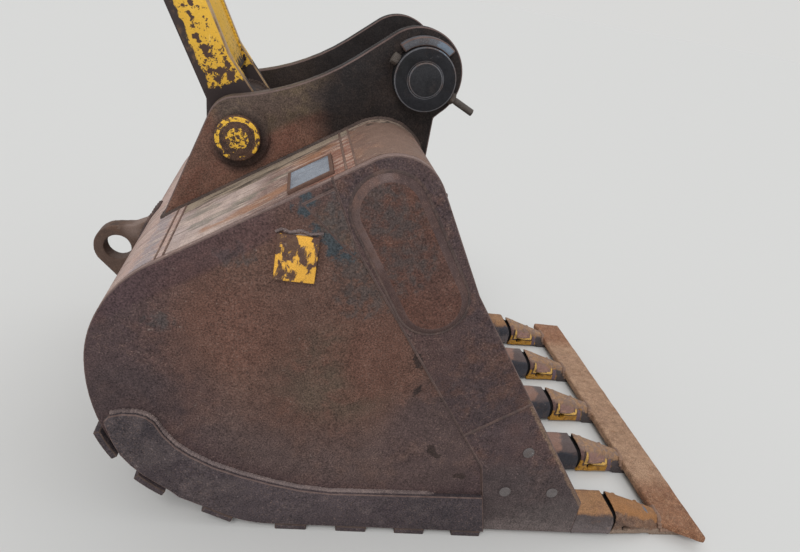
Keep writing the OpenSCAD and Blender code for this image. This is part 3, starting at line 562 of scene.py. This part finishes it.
def link_looks():
    """The link: chipped yellow paint over dark steel, bare and greasy round its lower pin."""
    looks = {}
    for name in ("link", "link_plate"):
        leg = name == "link"
        look = Look("Link paint " + name, YELLOW, (0.7, 0.385, 0.036), (0.79, 0.48, 0.07), (0.56, 0.3, 0.045),
                    (0.82, 0.54, 0.14), (0.4, 0.35, 0.25, 0.08), 0.18, 1.5, (1, 1, 0.15), rough=(0.55, 0.8),
                    bump=0.15, specular=0.3 if leg else 0.12)
        look.from_point(*LINK_PIN, LINK_LEAN)
        s, t = look.axis(0), look.axis(2)
        bare = look.broken(look.fit(t, 0.12, 0.26, 0.36, 0.25 if leg else 0.16), 110, 0.4, 0.02)
        if leg:
            bare = look.larger(look.patches_at(CHIPS, 75, 0.36, 0.02), bare)
        look.cover(bare, (0.075, 0.042, 0.032), 0.7, -0.6)
        if leg:
            # Tan on the leg's front face: paint worn off the front edge, with a painted edge highlight.
            front = look.times(look.fit(s, 0.0425, 0.0445), look.fit(t, 0.15, 0.17))
            look.cover(front, (0.43, 0.29, 0.16), 0.7)
            # Dark along the leg's rear edge: worn paint, with painted shade on the rear chamfer.
            strip = look.fade(s, -0.038, -0.016)
            look.cover(look.broken(strip, 40, 0.45, 0.05, (1, 1, 0.5)), (0.046, 0.033, 0.031), 0.7)
            look.cover(look.broken(look.times(strip, 0.3), 50, 0.45, 0.08), (0.11, 0.068, 0.045), 0.7)
        below = look.fade(look.minus(t, 0.113 if leg else 0.14), -0.02, 0.02)
        look.cover(look.broken(below, 60, 0.4, 0.03), (0.038, 0.026, 0.025), 0.7, -0.5)
        looks[name] = look
    # The link's rounded edges are tan in front and dark behind the pin's line: worn edges, with a painted highlight in
    # front and painted shade behind.
    edge = Look("Link edge", (0.43, 0.29, 0.16), (0.3, 0.2, 0.12), (0.16, 0.095, 0.055), SPECK, DUST,
                (0.5, 0.45, 0.3, 0.1), 0.5, 1.6)
    edge.from_point(*LINK_PIN, LINK_LEAN)
    edge.cover(edge.fade(edge.axis(0), 0.0, 0.01), (0.042, 0.031, 0.03))
    looks["link_edge"] = edge
    return looks


BEAD = ((0.5, 0.4, 0.3, 0.1), 0.5, 2.0)  # amounts, grain and scale of a weld bead
# Looks with no patches of their own: name, base, second, third, speck, light, amounts, grain, scale
PLAIN_LOOKS = {
    "plug": ("Plug", (0.128, 0.112, 0.11), (0.08, 0.066, 0.065), (0.105, 0.082, 0.074), (0.24, 0.23, 0.22),
             (0.35, 0.34, 0.33), (0.4, 0.3, 0.3, 0.1), 0.9, 3.0),
    "edge": ("Worn edge", (0.125, 0.085, 0.076), (0.092, 0.058, 0.05), (0.16, 0.112, 0.1), MAUVE, PINK,
             (0.5, 0.45, 0.3, 0.1), 0.5, 2.0),
    "rim": ("Plate rim of the sides", PINK, (0.145, 0.1, 0.092), (0.24, 0.16, 0.135), DUST, DUST,
            (0.45, 0.4, 0.3, 0.2), 0.5, 1.6),
    "link_boss": ("Link boss", (0.07, 0.046, 0.036), SOOT, (0.11, 0.062, 0.042), SPECK, STEEL,
                  (0.5, 0.4, 0.3, 0.1), 0.5, 1.6),
    "weld": ("Weld", (0.098, 0.066, 0.058), (0.062, 0.044, 0.041), (0.135, 0.085, 0.07), MAUVE, PINK, *BEAD),
    "light_weld": ("Light weld", (0.15, 0.115, 0.112), (0.095, 0.07, 0.068), (0.2, 0.15, 0.14), DUST, DUST, *BEAD),
    "dark_weld": ("Dark weld", (0.07, 0.048, 0.04), (0.04, 0.03, 0.027), (0.11, 0.07, 0.055), SPECK, PINK, *BEAD),
    "sheet_weld": ("Sheet weld", (0.165, 0.105, 0.085), (0.11, 0.07, 0.058), (0.23, 0.155, 0.125), TAN, DUST, *BEAD),
    "tooth_weld": ("Tooth weld", (0.21, 0.13, 0.095), (0.12, 0.08, 0.065), (0.29, 0.18, 0.12), TAN, DUST,
                   (0.4, 0.4, 0.3, 0.1), 0.5, 2.0),
}


def small_looks():
    """The blank plate and pad, the raised pad's bevel, and the plain looks."""
    badge = Look("Badge place", (0.105, 0.055, 0.04), (0.075, 0.046, 0.04), (0.15, 0.085, 0.05), SPECK, TAN,
                 (0.4, 0.4, 0.3, 0.2), 0.9, 2.0)
    reach = badge.times(badge.fit(badge.spots([(0.419, 0.737, 0.075, 0.085)]), 0.0, 0.35), 0.48)
    badge.cover(badge.broken(reach, 36, 0.4, 0.03, (1.2, 1, 0.7)), (0.76, 0.4, 0.06), 0.5, 0.4)
    bevel = Look("Bevel", (0.155, 0.104, 0.096), (0.1, 0.066, 0.06), (0.13, 0.076, 0.062), PINK, PINK,
                 (0.5, 0.45, 0.3, 0.1), 0.8, 1.8)
    # The bevel is darker from x 0.57 on, so it stays light only at the pad's upper end: a painted highlight there, over
    # some wear.
    bevel.tint(bevel.fit(bevel.fit(bevel.axis(0), 0.57, 0.64), 0.0, 0.5), (0.082, 0.05, 0.046), (0.068, 0.044, 0.042),
               (0.098, 0.058, 0.05))
    plate = Look("Blank plate", (0.265, 0.29, 0.33), (0.15, 0.155, 0.175), (0.3, 0.325, 0.365), (0.1, 0.09, 0.09),
                 (0.44, 0.46, 0.5), (0.45, 0.4, 0.35, 0.3), 1.0, 2.5, ALONG_SLOPE)
    plate.from_point(*TOP_START, TOP_SLOPE)
    frame_round = [plate.fit(plate.away(plate.axis(n), middle), half, half + 0.0005)
                   for n, middle, half in ((0, 0.365, 0.044), (1, -0.443, 0.057))]
    plate.cover(plate.larger(*frame_round), (0.13, 0.076, 0.058), 0.8)
    return {"badge": badge, "plate": plate, "bevel": bevel, **{key: Look(*row) for key, row in PLAIN_LOOKS.items()}}


def make_looks():
    """Every material of the object, by the record's slot or by the builder's own name."""
    looks = {**plate_looks(), **sheet_looks(), **ear_looks(), **tooth_looks(), **link_looks(), **small_looks()}
    return {name: look.done() for name, look in looks.items()}


LOOKS = make_looks()


# Making pieces

def finish_piece(obj, body, nodes=()):
    """Puts a finished mesh object in the scene, on its body, and in place of the nodes it stands for."""
    if obj.name not in bpy.context.scene.collection.all_objects:
        bpy.context.scene.collection.objects.link(obj)
    obj.data.set_sharp_from_angle(angle=math.radians(38))
    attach(obj, body)
    if nodes:
        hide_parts(*nodes)
    return obj


def bake(obj):
    """A plain mesh of obj as its modifiers leave it, with the modifiers removed."""
    deps = bpy.context.evaluated_depsgraph_get()
    deps.update()
    mesh = bpy.data.meshes.new_from_object(obj.evaluated_get(deps), preserve_all_data_layers=True, depsgraph=deps)
    obj.modifiers.clear()
    obj.data = mesh
    return obj


def node_copy(node):
    """A new object with the merged mesh of a CAD node."""
    bm = bmesh.new()
    bm.from_mesh(frame["nodes"][node].data)
    bmesh.ops.remove_doubles(bm, verts=bm.verts, dist=2e-5)
    for face in bm.faces:
        face.material_index = 0
        face.smooth = True
    bmesh.ops.dissolve_limit(bm, angle_limit=math.radians(0.4), verts=bm.verts, edges=bm.edges)
    mesh = bpy.data.meshes.new(node)
    bm.to_mesh(mesh)
    bm.free()
    obj = bpy.data.objects.new(node + "_finished", mesh)
    bpy.context.scene.collection.objects.link(obj)
    return obj


def round_edges(obj, width, angle=30, material=-1):
    """Rounds the edges sharper than angle, in the material of that number, or in the face's own."""
    mod = obj.modifiers.new("Bevel", "BEVEL")
    mod.width, mod.segments, mod.limit_method, mod.material = width, 2, "ANGLE", material
    mod.angle_limit, mod.use_clamp_overlap = math.radians(angle), False


def dress(node, look, width=0.002, edge="edge", angle=30, rim=None, band=(0.0, 0.5)):
    """A node's own shape with its edges rounded and worn. Faces that look sideways within band get the rim's look."""
    obj = node_copy(node)
    obj.data.materials.clear()
    for name in (look, edge, rim or look):
        obj.data.materials.append(LOOKS[name])
    if width:
        round_edges(obj, width, angle, 1)
    bake(obj)
    if rim:
        for face in obj.data.polygons:
            if face.material_index == 0 and band[0] <= abs(face.normal.y) < band[1]:
                face.material_index = 2
    return finish_piece(obj, BODY[node], [node])


# The raised rim on both flanks of a tip, as (x, z)
RIM = ((1.384, 0.084), (1.386, 0.060), (1.396, 0.047), (1.412, 0.041), (1.452, 0.036), (1.460, 0.041),
       (1.453, 0.066), (1.446, 0.078))
RIM_RADIUS = 0.0062


def add_rim(obj, y, side):
    """Joins the raised rim to one flank of a tip that stands at y."""
    bm = bmesh.new()
    bm.from_mesh(obj.data)
    skin = BVHTree.FromBMesh(bm)
    rings = []
    for (x0, z0), (x1, z1) in zip(RIM, RIM[1:]):
        for k in range(4):
            x, z = x0 + (x1 - x0) * k / 4, z0 + (z1 - z0) * k / 4
            hit = skin.ray_cast(place(x, y + side * 0.2, z), Vector((0, -side, 0)))[0]
            if hit is None:
                continue
            across = Vector((z0 - z1, 0, x1 - x0)).normalized()
            out = Vector((0, side, 0))
            rings.append([bm.verts.new(hit + RIM_RADIUS * (math.cos(a) * across + math.sin(a) * out))
                          for a in (math.radians(45 * n) for n in range(8))])
    for one, two in zip(rings, rings[1:]):
        for n in range(8):
            bm.faces.new((one[n], one[n - 1], two[n - 1], two[n]))
    for ring in (rings[0], rings[-1]):
        bm.faces.new(ring)
    bmesh.ops.recalc_face_normals(bm, faces=bm.faces)
    bm.to_mesh(obj.data)
    bm.free()


def cast(node, look, voxel, rounding, rough, width=0.0, rim_at=None):
    """A node's shape as a rough casting: rounded edges and an uneven skin that stays inside the solid."""
    obj = node_copy(node)
    if rim_at is not None:
        for side in (-1, 1):
            add_rim(obj, rim_at, side)
    obj.data.materials.clear()
    obj.data.materials.append(LOOKS[look])
    if width:
        round_edges(obj, width)
    remesh = obj.modifiers.new("Remesh", "REMESH")
    remesh.mode, remesh.voxel_size, remesh.adaptivity = "VOXEL", voxel, 0.0
    remesh.use_smooth_shade = True
    smooth = obj.modifiers.new("Smooth", "SMOOTH")
    smooth.factor, smooth.iterations = 0.5, rounding
    for size, strength in ((0.05, rough), (0.014, rough * 0.45)):
        texture = bpy.data.textures.new("Casting", "CLOUDS")
        texture.noise_scale, texture.noise_depth = size, 3
        push = obj.modifiers.new("Skin", "DISPLACE")
        push.texture, push.strength, push.mid_level, push.texture_coords = texture, strength, 0.75, "GLOBAL"
    bake(obj)
    return finish_piece(obj, BODY[node], [node])


# Weld beads: geometry nodes run a rippled bead along lines

def bead_tree():
    """Geometry nodes: a bead along every line of the mesh, as thick as the line's own attribute says."""
    tree = bpy.data.node_groups.get("Weld bead")
    if tree:
        return tree
    tree = bpy.data.node_groups.new("Weld bead", "GeometryNodeTree")
    tree.is_modifier = True
    socket(tree, "Geometry", "Geometry")
    for name, value in (("Step", 0.003), ("Spacing", 0.009), ("Ripple", 0.3), ("Lumps", 0.5)):
        socket(tree, name, "Float", value)
    socket(tree, "Material", "Material")
    socket(tree, "Geometry", "Geometry", out=True)
    g = Graph(tree)
    i = tree.nodes.new("NodeGroupInput").outputs
    bead = g.add("GeometryNodeInputNamedAttribute", {"Name": "bead"}, data_type="FLOAT").outputs[0]
    along = g.add("GeometryNodeInputNamedAttribute", {"Name": "along"}, data_type="FLOAT").outputs[0]
    curve = g.add("GeometryNodeMeshToCurve", {0: i["Geometry"]}).outputs[0]
    curve = g.add("GeometryNodeResampleCurve", {"Curve": curve, "Length": i["Step"]}, mode="LENGTH").outputs[0]
    curve = g.add("GeometryNodeStoreNamedAttribute",
                  {"Geometry": curve, "Name": "along", "Value": g.add("GeometryNodeSplineParameter").outputs["Length"]},
                  data_type="FLOAT", domain="POINT").outputs[0]
    ring = g.add("GeometryNodeCurvePrimitiveCircle", {"Resolution": 7, "Radius": 1.0}).outputs[0]
    tube = g.add("GeometryNodeCurveToMesh", {"Curve": curve, "Profile Curve": ring, "Scale": bead,
                                             "Fill Caps": True}).outputs[0]
    phase = g.math("DIVIDE", g.times(along, math.pi), i["Spacing"])
    wave = g.minus(g.absolute(g.math("SINE", phase)), 0.6)
    lump = g.minus(g.noise(None, 70.0, 3.0), 0.55)
    push = g.plus(g.times(wave, i["Ripple"]), g.times(lump, i["Lumps"]))
    offset = g.add("ShaderNodeVectorMath", {0: g.add("GeometryNodeInputNormal").outputs[0],
                                            "Scale": g.times(push, bead)}, operation="SCALE").outputs[0]
    tube = g.add("GeometryNodeSetPosition", {"Geometry": tube, "Offset": offset}).outputs[0]
    tube = g.add("GeometryNodeSetShadeSmooth", {"Geometry": tube}).outputs[0]
    tube = g.add("GeometryNodeRealizeInstances", {"Geometry": tube}).outputs[0]
    tube = g.add("GeometryNodeSetMaterial", {"Geometry": tube, "Material": i["Material"]}).outputs[0]
    g.put(tree.nodes.new("NodeGroupOutput").inputs[0], tube)
    return tree


def weld(name, lines, look, body="bucket", slot="side_plate", **settings):
    """One piece with a bead along each of some lines (points, bead's radius, whether it closes)."""
    verts, edges, radii = [], [], []
    for points, radius, closed in lines:
        first = len(verts)
        verts += points
        radii += [radius] * len(points)
        edges += [(n, n + 1) for n in range(first, len(verts) - 1)]
        if closed:
            edges.append((len(verts) - 1, first))
    mesh = bpy.data.meshes.new(name)
    mesh.from_pydata(verts, edges, [])
    mesh.attributes.new("bead", "FLOAT", "POINT").data.foreach_set("value", radii)
    obj = bpy.data.objects.new(name, mesh)
    bpy.context.scene.collection.objects.link(obj)
    mod = obj.modifiers.new("Bead", "NODES")
    mod.node_group = tree = bead_tree()
    settings["Material"] = LOOKS[look]
    for item in tree.interface.items_tree:
        if item.in_out == "INPUT" and item.name != "Geometry":
            mod[item.identifier] = settings.get(item.name, getattr(item, "default_value", None))
    bake(obj)
    for key in ("bead", "along"):
        if key in obj.data.attributes:
            obj.data.attributes.remove(obj.data.attributes[key])
    return finish_piece(obj, body)


def flat(points, y):
    """Points (x, z) on the upright plane at y."""
    return [place(x, y, z) for x, z in points]


def on_side(points, side, out=0.0):
    """Points (x, z) on a side plate's outer face, set outwards by out."""
    return [place(x, side * side_y(x, out), z) for x, z in points]


def inside_line(x, z):
    """A line across the inside of the shell, its ends 2 mm deep in the sides."""
    half = side_y(x, 0.002 - SHELL_T)
    return [place(x, -half, z), place(x, half, z)]


# The shell's outline, rear to front, and its tube: circles as (x, z, radius)
HEEL, LOW, BEND, TOE = (0.290, 0.445, 0.290), (0.450, 0.445, 0.450), (0.358, 0.406, 0.350), (0.4267, 0.266, 0.250)
TUBE = (0.6028, 0.8736, 0.107)


def around(circle, a0, a1, n, inset=0.0):
    """Points (x, z) round a circle of the outline, or inside it by inset."""
    return arc(circle[0], circle[1], circle[2] - inset, a0, a1, n)


# Lines of the beads, as (x, z)
INNER_LINE = [(0.5262, 0.9271), *around(HEEL, 123.7, 180, 16, SHELL_T), *around(LOW, 180, 203, 8, SHELL_T),
              *around(BEND, 203, 246, 12, SHELL_T), *around(TOE, 246, 270, 8, SHELL_T), (1.000, 0.036)]
EAR_BASE = [*around(HEEL, 131.5, 123.7, 3), *around(TUBE, 123.7, 0, 24)]
EYE_BASE = [*around(HEEL, 144.6, 180, 6), *around(LOW, 180, 194, 4)[1:]]
CHEEK_LINE = [(0.471, 0.914), (0.5393, 0.7742), (0.9372, 0.2265), (0.989, 0.134)]
CHEEK_SEAM = [(1.0191, 0.4269), (0.8702, 0.3187)]
SHROUD_LINE = [(0.053, 0.313), (0.080, 0.322), (0.110, 0.323), (0.132, 0.317), (0.150, 0.303), (0.170, 0.270),
               (0.197, 0.239), (0.229, 0.215), (0.283, 0.186), (0.347, 0.163), (0.420, 0.143), (0.494, 0.128),
               (0.569, 0.122), (0.810, 0.129), (0.834, 0.124), (0.842, 0.108)]
PAD_FOOT = [*arc(0.5936, 0.8680, 0.081, 33, 213, 24), *arc(0.7200, 0.6734, 0.081, 213, 393, 24)]
# The bead over the badge place
SCAR = [(0.371, 0.790), (0.385, 0.798), (0.400, 0.792), (0.422, 0.799), (0.442, 0.793), (0.468, 0.798)]
# Beads at a tooth, as (x, distance from its middle, z): under the bar, along the adapter, round the tip behind the bar
TIP_SIDE = ((1.515, 0.040, 0.022), (1.600, 0.040, 0.022))
ADAPTER_SIDE = ((1.085, 0.050, 0.056), (1.222, 0.050, 0.056), (1.258, 0.050, 0.034))
TIP_ROUND = ((1.517, -0.038, 0.024), (1.517, -0.020, 0.046), (1.517, 0.020, 0.046), (1.517, 0.038, 0.024))
# The cross bolt: where its middle line starts and leans, then its thread and its nut, measured along it
BOLT_Y, BOLT_SLOPE = -0.231, math.radians(-24.7)
THREAD_START, THREAD_PITCH, THREAD_TURNS, THREAD_RADIUS = 0.093, 0.003, 17, 0.0076
NUT_START, NUT_THICK, NUT_APOTHEM = 0.074, 0.013, 0.0125


def nut(bm, centre, way, apothem, thick):
    """A chamfered six-sided nut round a rod that runs along way."""
    side = way.orthogonal().normalized()
    other = way.cross(side)
    rings = []
    for h, limit in ((0.0, 1.02), (0.15, 1.155), (0.85, 1.155), (1.0, 1.02)):
        ring = []
        for n in range(36):
            a = math.radians(10 * n)
            r = min(apothem / math.cos((a + math.pi / 6) % (math.pi / 3) - math.pi / 6), apothem * limit)
            ring.append(bm.verts.new(centre + way * thick * h + r * (math.cos(a) * side + math.sin(a) * other)))
        rings.append(ring)
    for one, two in zip(rings, rings[1:]):
        for n in range(36):
            bm.faces.new((one[n - 1], one[n], two[n], two[n - 1]))
    bm.faces.new(rings[-1])
    bm.faces.new(rings[0][::-1])


# Operators

class BUCKET_PG_sizes(bpy.types.PropertyGroup):
    edge_round: bpy.props.FloatProperty(
        name="Edge rounding", description="Width of the worn rounding along the plates' edges",
        default=0.0025, min=0.0005, max=0.006, unit="LENGTH")
    casting_voxel: bpy.props.FloatProperty(
        name="Casting detail", description="Size of the cells that the teeth's skin is made of",
        default=0.003, min=0.002, max=0.01, unit="LENGTH")
    casting_rough: bpy.props.FloatProperty(
        name="Casting roughness", description="Depth of the uneven skin of the teeth and the bar",
        default=0.0022, min=0.0, max=0.006, unit="LENGTH")
    bead_radius: bpy.props.FloatProperty(
        name="Weld size", description="Radius of the larger weld beads", default=0.006, min=0.002, max=0.012,
        unit="LENGTH")
    floor_size: bpy.props.FloatProperty(
        name="Floor size", description="Length of the square floor's sides", default=400.0, min=10.0, max=1000.0,
        unit="LENGTH")


def sizes(context):
    return context.scene.bucket_sizes


class BUCKET_OT_stage(bpy.types.Operator):
    """Make the floor, the light and the camera"""
    bl_idname = "bucket.stage"
    bl_label = "Stage"

    def execute(self, context):
        scene = context.scene
        half = sizes(context).floor_size / 2
        mesh = bpy.data.meshes.new("floor")
        mesh.from_pydata([(-half, -half, 0), (half, -half, 0), (half, half, 0), (-half, half, 0)], [], [(0, 1, 2, 3)])
        floor = bpy.data.objects.new("floor", mesh)
        scene.collection.objects.link(floor)
        material = bpy.data.materials.new("Pale floor")
        material.use_nodes = True
        shader = material.node_tree.nodes["Principled BSDF"]
        shader.inputs["Base Color"].default_value = (0.60, 0.595, 0.58, 1.0)
        shader.inputs["Roughness"].default_value = 0.95
        shader.inputs["Specular IOR Level"].default_value = 0.0
        mesh.materials.append(material)
        world = bpy.data.worlds.new("Studio")
        scene.world = world
        world.use_nodes = True
        g = Graph(world.node_tree)
        sky = world.node_tree.nodes["Background"]
        sky.inputs[0].default_value = (0.96, 0.98, 1.0, 1.0)
        sky.inputs[1].default_value = 0.75
        seen = g.add("ShaderNodeBackground", {0: (0.692, 0.692, 0.682, 1.0), 1: 1.0}).outputs[0]
        camera_ray = g.add("ShaderNodeLightPath").outputs["Is Camera Ray"]
        mixed = g.add("ShaderNodeMixShader", {0: camera_ray, 1: sky.outputs[0], 2: seen}).outputs[0]
        g.put(world.node_tree.nodes["World Output"].inputs[0], mixed)
        for name, energy, angle, turn in (("key", 1.5, 30, (38, -22, 0)), ("fill", 0.35, 60, (-30, 35, 0))):
            sun = bpy.data.lights.new(name, "SUN")
            sun.energy, sun.angle = energy, math.radians(angle)
            obj = bpy.data.objects.new(name, sun)
            obj.rotation_euler = [math.radians(a) for a in turn]
            scene.collection.objects.link(obj)
        camera = bpy.data.cameras.new("camera")
        camera.lens, camera.sensor_width = 29.25, 36.0
        obj = bpy.data.objects.new("camera", camera)
        scene.collection.objects.link(obj)
        # The camera fitted to the photograph: its axes, and its place
        right = Vector((0.97572, -0.13323, 0.17383))
        up = Vector((-0.10074, 0.43174, 0.89635))
        turn = Matrix((right, up, right.cross(up))).transposed().to_4x4()
        turn.translation = place(0.3708, -1.7746, 1.2869)
        obj.matrix_world = turn
        scene.camera = obj
        scene.view_settings.view_transform = "Standard"
        return {"FINISHED"}


class BUCKET_OT_shell(bpy.types.Operator):
    """Finish the shell's sheets and the sides, with the welds between them"""
    bl_idname = "bucket.shell"
    bl_label = "Shell and sides"

    def execute(self, context):
        width, bead = sizes(context).edge_round, sizes(context).bead_radius
        dress("top_sheet", "top_sheet", 0)
        dress("heel_sheet", "heel_sheet", 0)
        dress("floor_plate", "inside", 0)
        dress("torque_tube", "tube", 0)
        dress("cutting_edge", "inside", width)
        lines = [(inside_line(0.5262, 0.9271), bead, False), (inside_line(1.000, 0.040), bead * 1.2, False)]
        for side, s in SIDES:
            for node in ("side_plate_", "cheek_upper_", "cheek_lower_"):
                dress(node + side, SLOT[node + side], width, rim="rim")
            lines += [(on_side(INNER_LINE, s, -SHELL_T), bead, False),
                      (on_side(around(TUBE, 20, -215, 40), s, -SHELL_T), bead, False),
                      (on_side(CHEEK_LINE, s), bead * 0.7, False),
                      (on_side(CHEEK_SEAM, s, 0.004), bead * 0.7, False)]
        weld("shell_welds", lines, "weld")
        seams = [(inside_line(0.5151, 0.9432), bead * 0.4, False), (inside_line(0.497, 0.9310), bead * 0.5, False),
                 (inside_line(0.154, 0.7022), bead * 0.5, False), (inside_line(0.1374, 0.6911), bead * 0.5, False)]
        weld("sheet_welds", seams, "sheet_weld", slot="top_sheet")
        return {"FINISHED"}


class BUCKET_OT_wear_parts(bpy.types.Operator):
    """Finish the wear pads, shrouds, strips and plugs"""
    bl_idname = "bucket.wear_parts"
    bl_label = "Wear parts"

    def execute(self, context):
        width, bead = sizes(context).edge_round, sizes(context).bead_radius
        lines, feet = [], []
        for side, s in SIDES:
            dress("wear_pad_" + side, "wear_plate", 0.002, "bevel", 20, "bevel", (0.3, 0.95))
            dress("side_shroud_" + side, "wear_plate", width)
            dress("corner_plugs_" + side, "plug", 0.0008, "plug")
            lines.append((on_side(SHROUD_LINE, s, 0.002), bead, False))
            feet.append((on_side(PAD_FOOT, s, 0.004), bead * 0.8, True))
        dress("heel_strips", "wear_plate", width, "dark_weld")
        dress("floor_strips", "wear_plate", width, "dark_weld")
        weld("shroud_welds", lines, "light_weld", slot="wear_plate")
        weld("pad_welds", feet, "weld", slot="wear_plate")
        return {"FINISHED"}


class BUCKET_OT_mouth(bpy.types.Operator):
    """Finish the adapters, the tooth tips and the bar across them"""
    bl_idname = "bucket.mouth"
    bl_label = "Teeth and bar"

    def execute(self, context):
        voxel, rough, bead = sizes(context).casting_voxel, sizes(context).casting_rough, sizes(context).bead_radius
        lines = []
        for i in range(1, TEETH + 1):
            y = (i - 3) * TOOTH_PITCH
            cast(f"adapter_{i}", "corner_adapter" if i in (1, TEETH) else "adapter", voxel, 3, rough)
            cast(f"tip_{i}", SLOT[f"tip_{i}"], voxel, 2, rough, rim_at=y)
            for s in (-1, 1):
                lines.append(([place(x, y + s * a, z) for x, a, z in TIP_SIDE], bead, False))
                if (i, s) not in ((1, -1), (TEETH, 1)):
                    lines.append(([place(x, y + s * a, z) for x, a, z in ADAPTER_SIDE], bead * 1.2, False))
            lines.append(([place(x, y + a, z) for x, a, z in TIP_ROUND], bead * 1.2, False))
        cast("edge_bar", "edge_bar", voxel * 1.3, 3, rough, 0.005)
        weld("mouth_welds", lines, "tooth_weld", slot="edge_bar", Ripple=0.35, Lumps=0.9)
        return {"FINISHED"}


class BUCKET_OT_ears(bpy.types.Operator):
    """Finish the ears, their collars and the two pins, with their welds"""
    bl_idname = "bucket.ears"
    bl_label = "Ears and pins"

    def execute(self, context):
        bead = sizes(context).bead_radius
        feet, rounds = [], []
        for side, s in SIDES:
            dress("ear_" + side, "ear", 0.003)
            dress("ear_pad_" + side, "ear", 0.0015, "ear")
            dress("stick_collar_" + side, "greasy", 0.003, "guard")
            feet.append((flat(EAR_BASE, s * EAR_FACES[0]) + flat(EAR_BASE, s * EAR_FACES[1])[::-1], bead * 1.1, True))
            for pin, r in ((LINK_PIN, 0.073), (STICK_PIN, 0.074)):
                rounds.append((flat(arc(*pin, r, 0, 352, 44), s * EAR_FACES[1]), bead * 0.5, True))
        dress("collar_guard", "guard", 0.003)
        dress("stick_pin", "stick_pin", 0.003, "guard")
        dress("link_pin", "pin", 0.004, "pin")
        weld("ear_welds", feet, "dark_weld", slot="ear", Lumps=0.8)
        weld("ear_ring_welds", rounds, "ear", slot="ear")
        self.bolt()
        return {"FINISHED"}

    def bolt(self):
        """The cross bolt through the collar: its thread and its nut"""
        dress("retaining_bolt", "bolt", 0.001, "bolt")
        way = Vector((math.cos(BOLT_SLOPE), 0, math.sin(BOLT_SLOPE)))
        side = Vector((0, 1, 0))
        other = way.cross(side)
        start = place(STICK_PIN[0], BOLT_Y, STICK_PIN[1])
        helix = []
        for n in range(16 * THREAD_TURNS):
            a = math.tau * n / 16
            helix.append(start + way * (THREAD_START + THREAD_PITCH * n / 16)
                         + THREAD_RADIUS * (math.cos(a) * side + math.sin(a) * other))
        weld("bolt_thread", [(helix, 0.0011, False)], "bolt", slot="bolt", Step=0.0012, Ripple=0.0, Lumps=0.2)
        bm = bmesh.new()
        nut(bm, start + way * NUT_START, way, NUT_APOTHEM, NUT_THICK)
        mesh = bpy.data.meshes.new("bolt_nut")
        bm.to_mesh(mesh)
        bm.free()
        mesh.materials.append(LOOKS["bolt"])
        finish_piece(bpy.data.objects.new("bolt_nut", mesh), "bucket")


class BUCKET_OT_fittings(bpy.types.Operator):
    """Finish the lifting eye, the blank plate and the badge place"""
    bl_idname = "bucket.fittings"
    bl_label = "Fittings"

    def execute(self, context):
        bead = sizes(context).bead_radius
        cast("lifting_eye", "eye", 0.003, 3, 0.0012)
        dress("rating_plate", "plate", 0.001, "plate")
        dress("badge_pad", "badge", 0.002, "badge")
        loop = flat(EYE_BASE, -0.025) + flat(EYE_BASE, 0.025)[::-1]
        weld("eye_welds", [(loop, bead * 1.2, True)], "weld", slot="ear", Lumps=0.8)
        weld("badge_welds", [(on_side(SCAR, -1), bead * 0.7, False)], "light_weld", slot="badge", Lumps=0.9)
        return {"FINISHED"}


class BUCKET_OT_link(bpy.types.Operator):
    """Finish the bucket link"""
    bl_idname = "bucket.link"
    bl_label = "Bucket link"

    def execute(self, context):
        bead = sizes(context).bead_radius
        plate, rounds = [], []
        for side, s in SIDES:
            dress("link_leg_" + side, "link", 0.004, "link_edge")
            for front in (0.020, 0.040):
                plate.append((flat([hanging(front, t) for t in (0.122, 0.408)], s * 0.120), bead, False))
            for y in (0.120, 0.150):
                rounds.append((flat(arc(*LINK_PIN, 0.075, 0, 352, 44), s * y), bead, True))
        dress("link_plate", "link_plate", 0.002, "link_plate")
        dress("link_low_boss", "link_boss", 0.003, "link_boss")
        dress("link_top_bosses", "link", 0.002, "link")
        weld("link_plate_welds", plate, "link_plate", "link", "link")
        weld("link_boss_welds", rounds, "link_boss", "link", "link_boss")
        return {"FINISHED"}


class BUCKET_PT_panel(bpy.types.Panel):
    """The pieces and the stage, in the order they are made"""
    bl_idname = "BUCKET_PT_panel"
    bl_label = "Digging bucket"
    bl_space_type = "VIEW_3D"
    bl_region_type = "UI"
    bl_category = "Bucket"

    def draw(self, context):
        for name in BUCKET_PG_sizes.__annotations__:
            self.layout.prop(sizes(context), name)
        for step in STEPS:
            self.layout.operator(step.bl_idname)


STEPS = (BUCKET_OT_stage, BUCKET_OT_shell, BUCKET_OT_wear_parts, BUCKET_OT_mouth, BUCKET_OT_ears,
         BUCKET_OT_fittings, BUCKET_OT_link)
CLASSES = (BUCKET_PG_sizes, *STEPS, BUCKET_PT_panel)


def register():
    for cls in CLASSES:
        bpy.utils.register_class(cls)
    bpy.types.Scene.bucket_sizes = bpy.props.PointerProperty(type=BUCKET_PG_sizes)


def unregister():
    del bpy.types.Scene.bucket_sizes
    for cls in reversed(CLASSES):
        bpy.utils.unregister_class(cls)


def main():
    register()
    for step in STEPS:
        group, name = step.bl_idname.split(".")
        if getattr(getattr(bpy.ops, group), name)() != {"FINISHED"}:
            raise RuntimeError(step.bl_label + " did not finish")


if __name__ == "__main__":
    main()
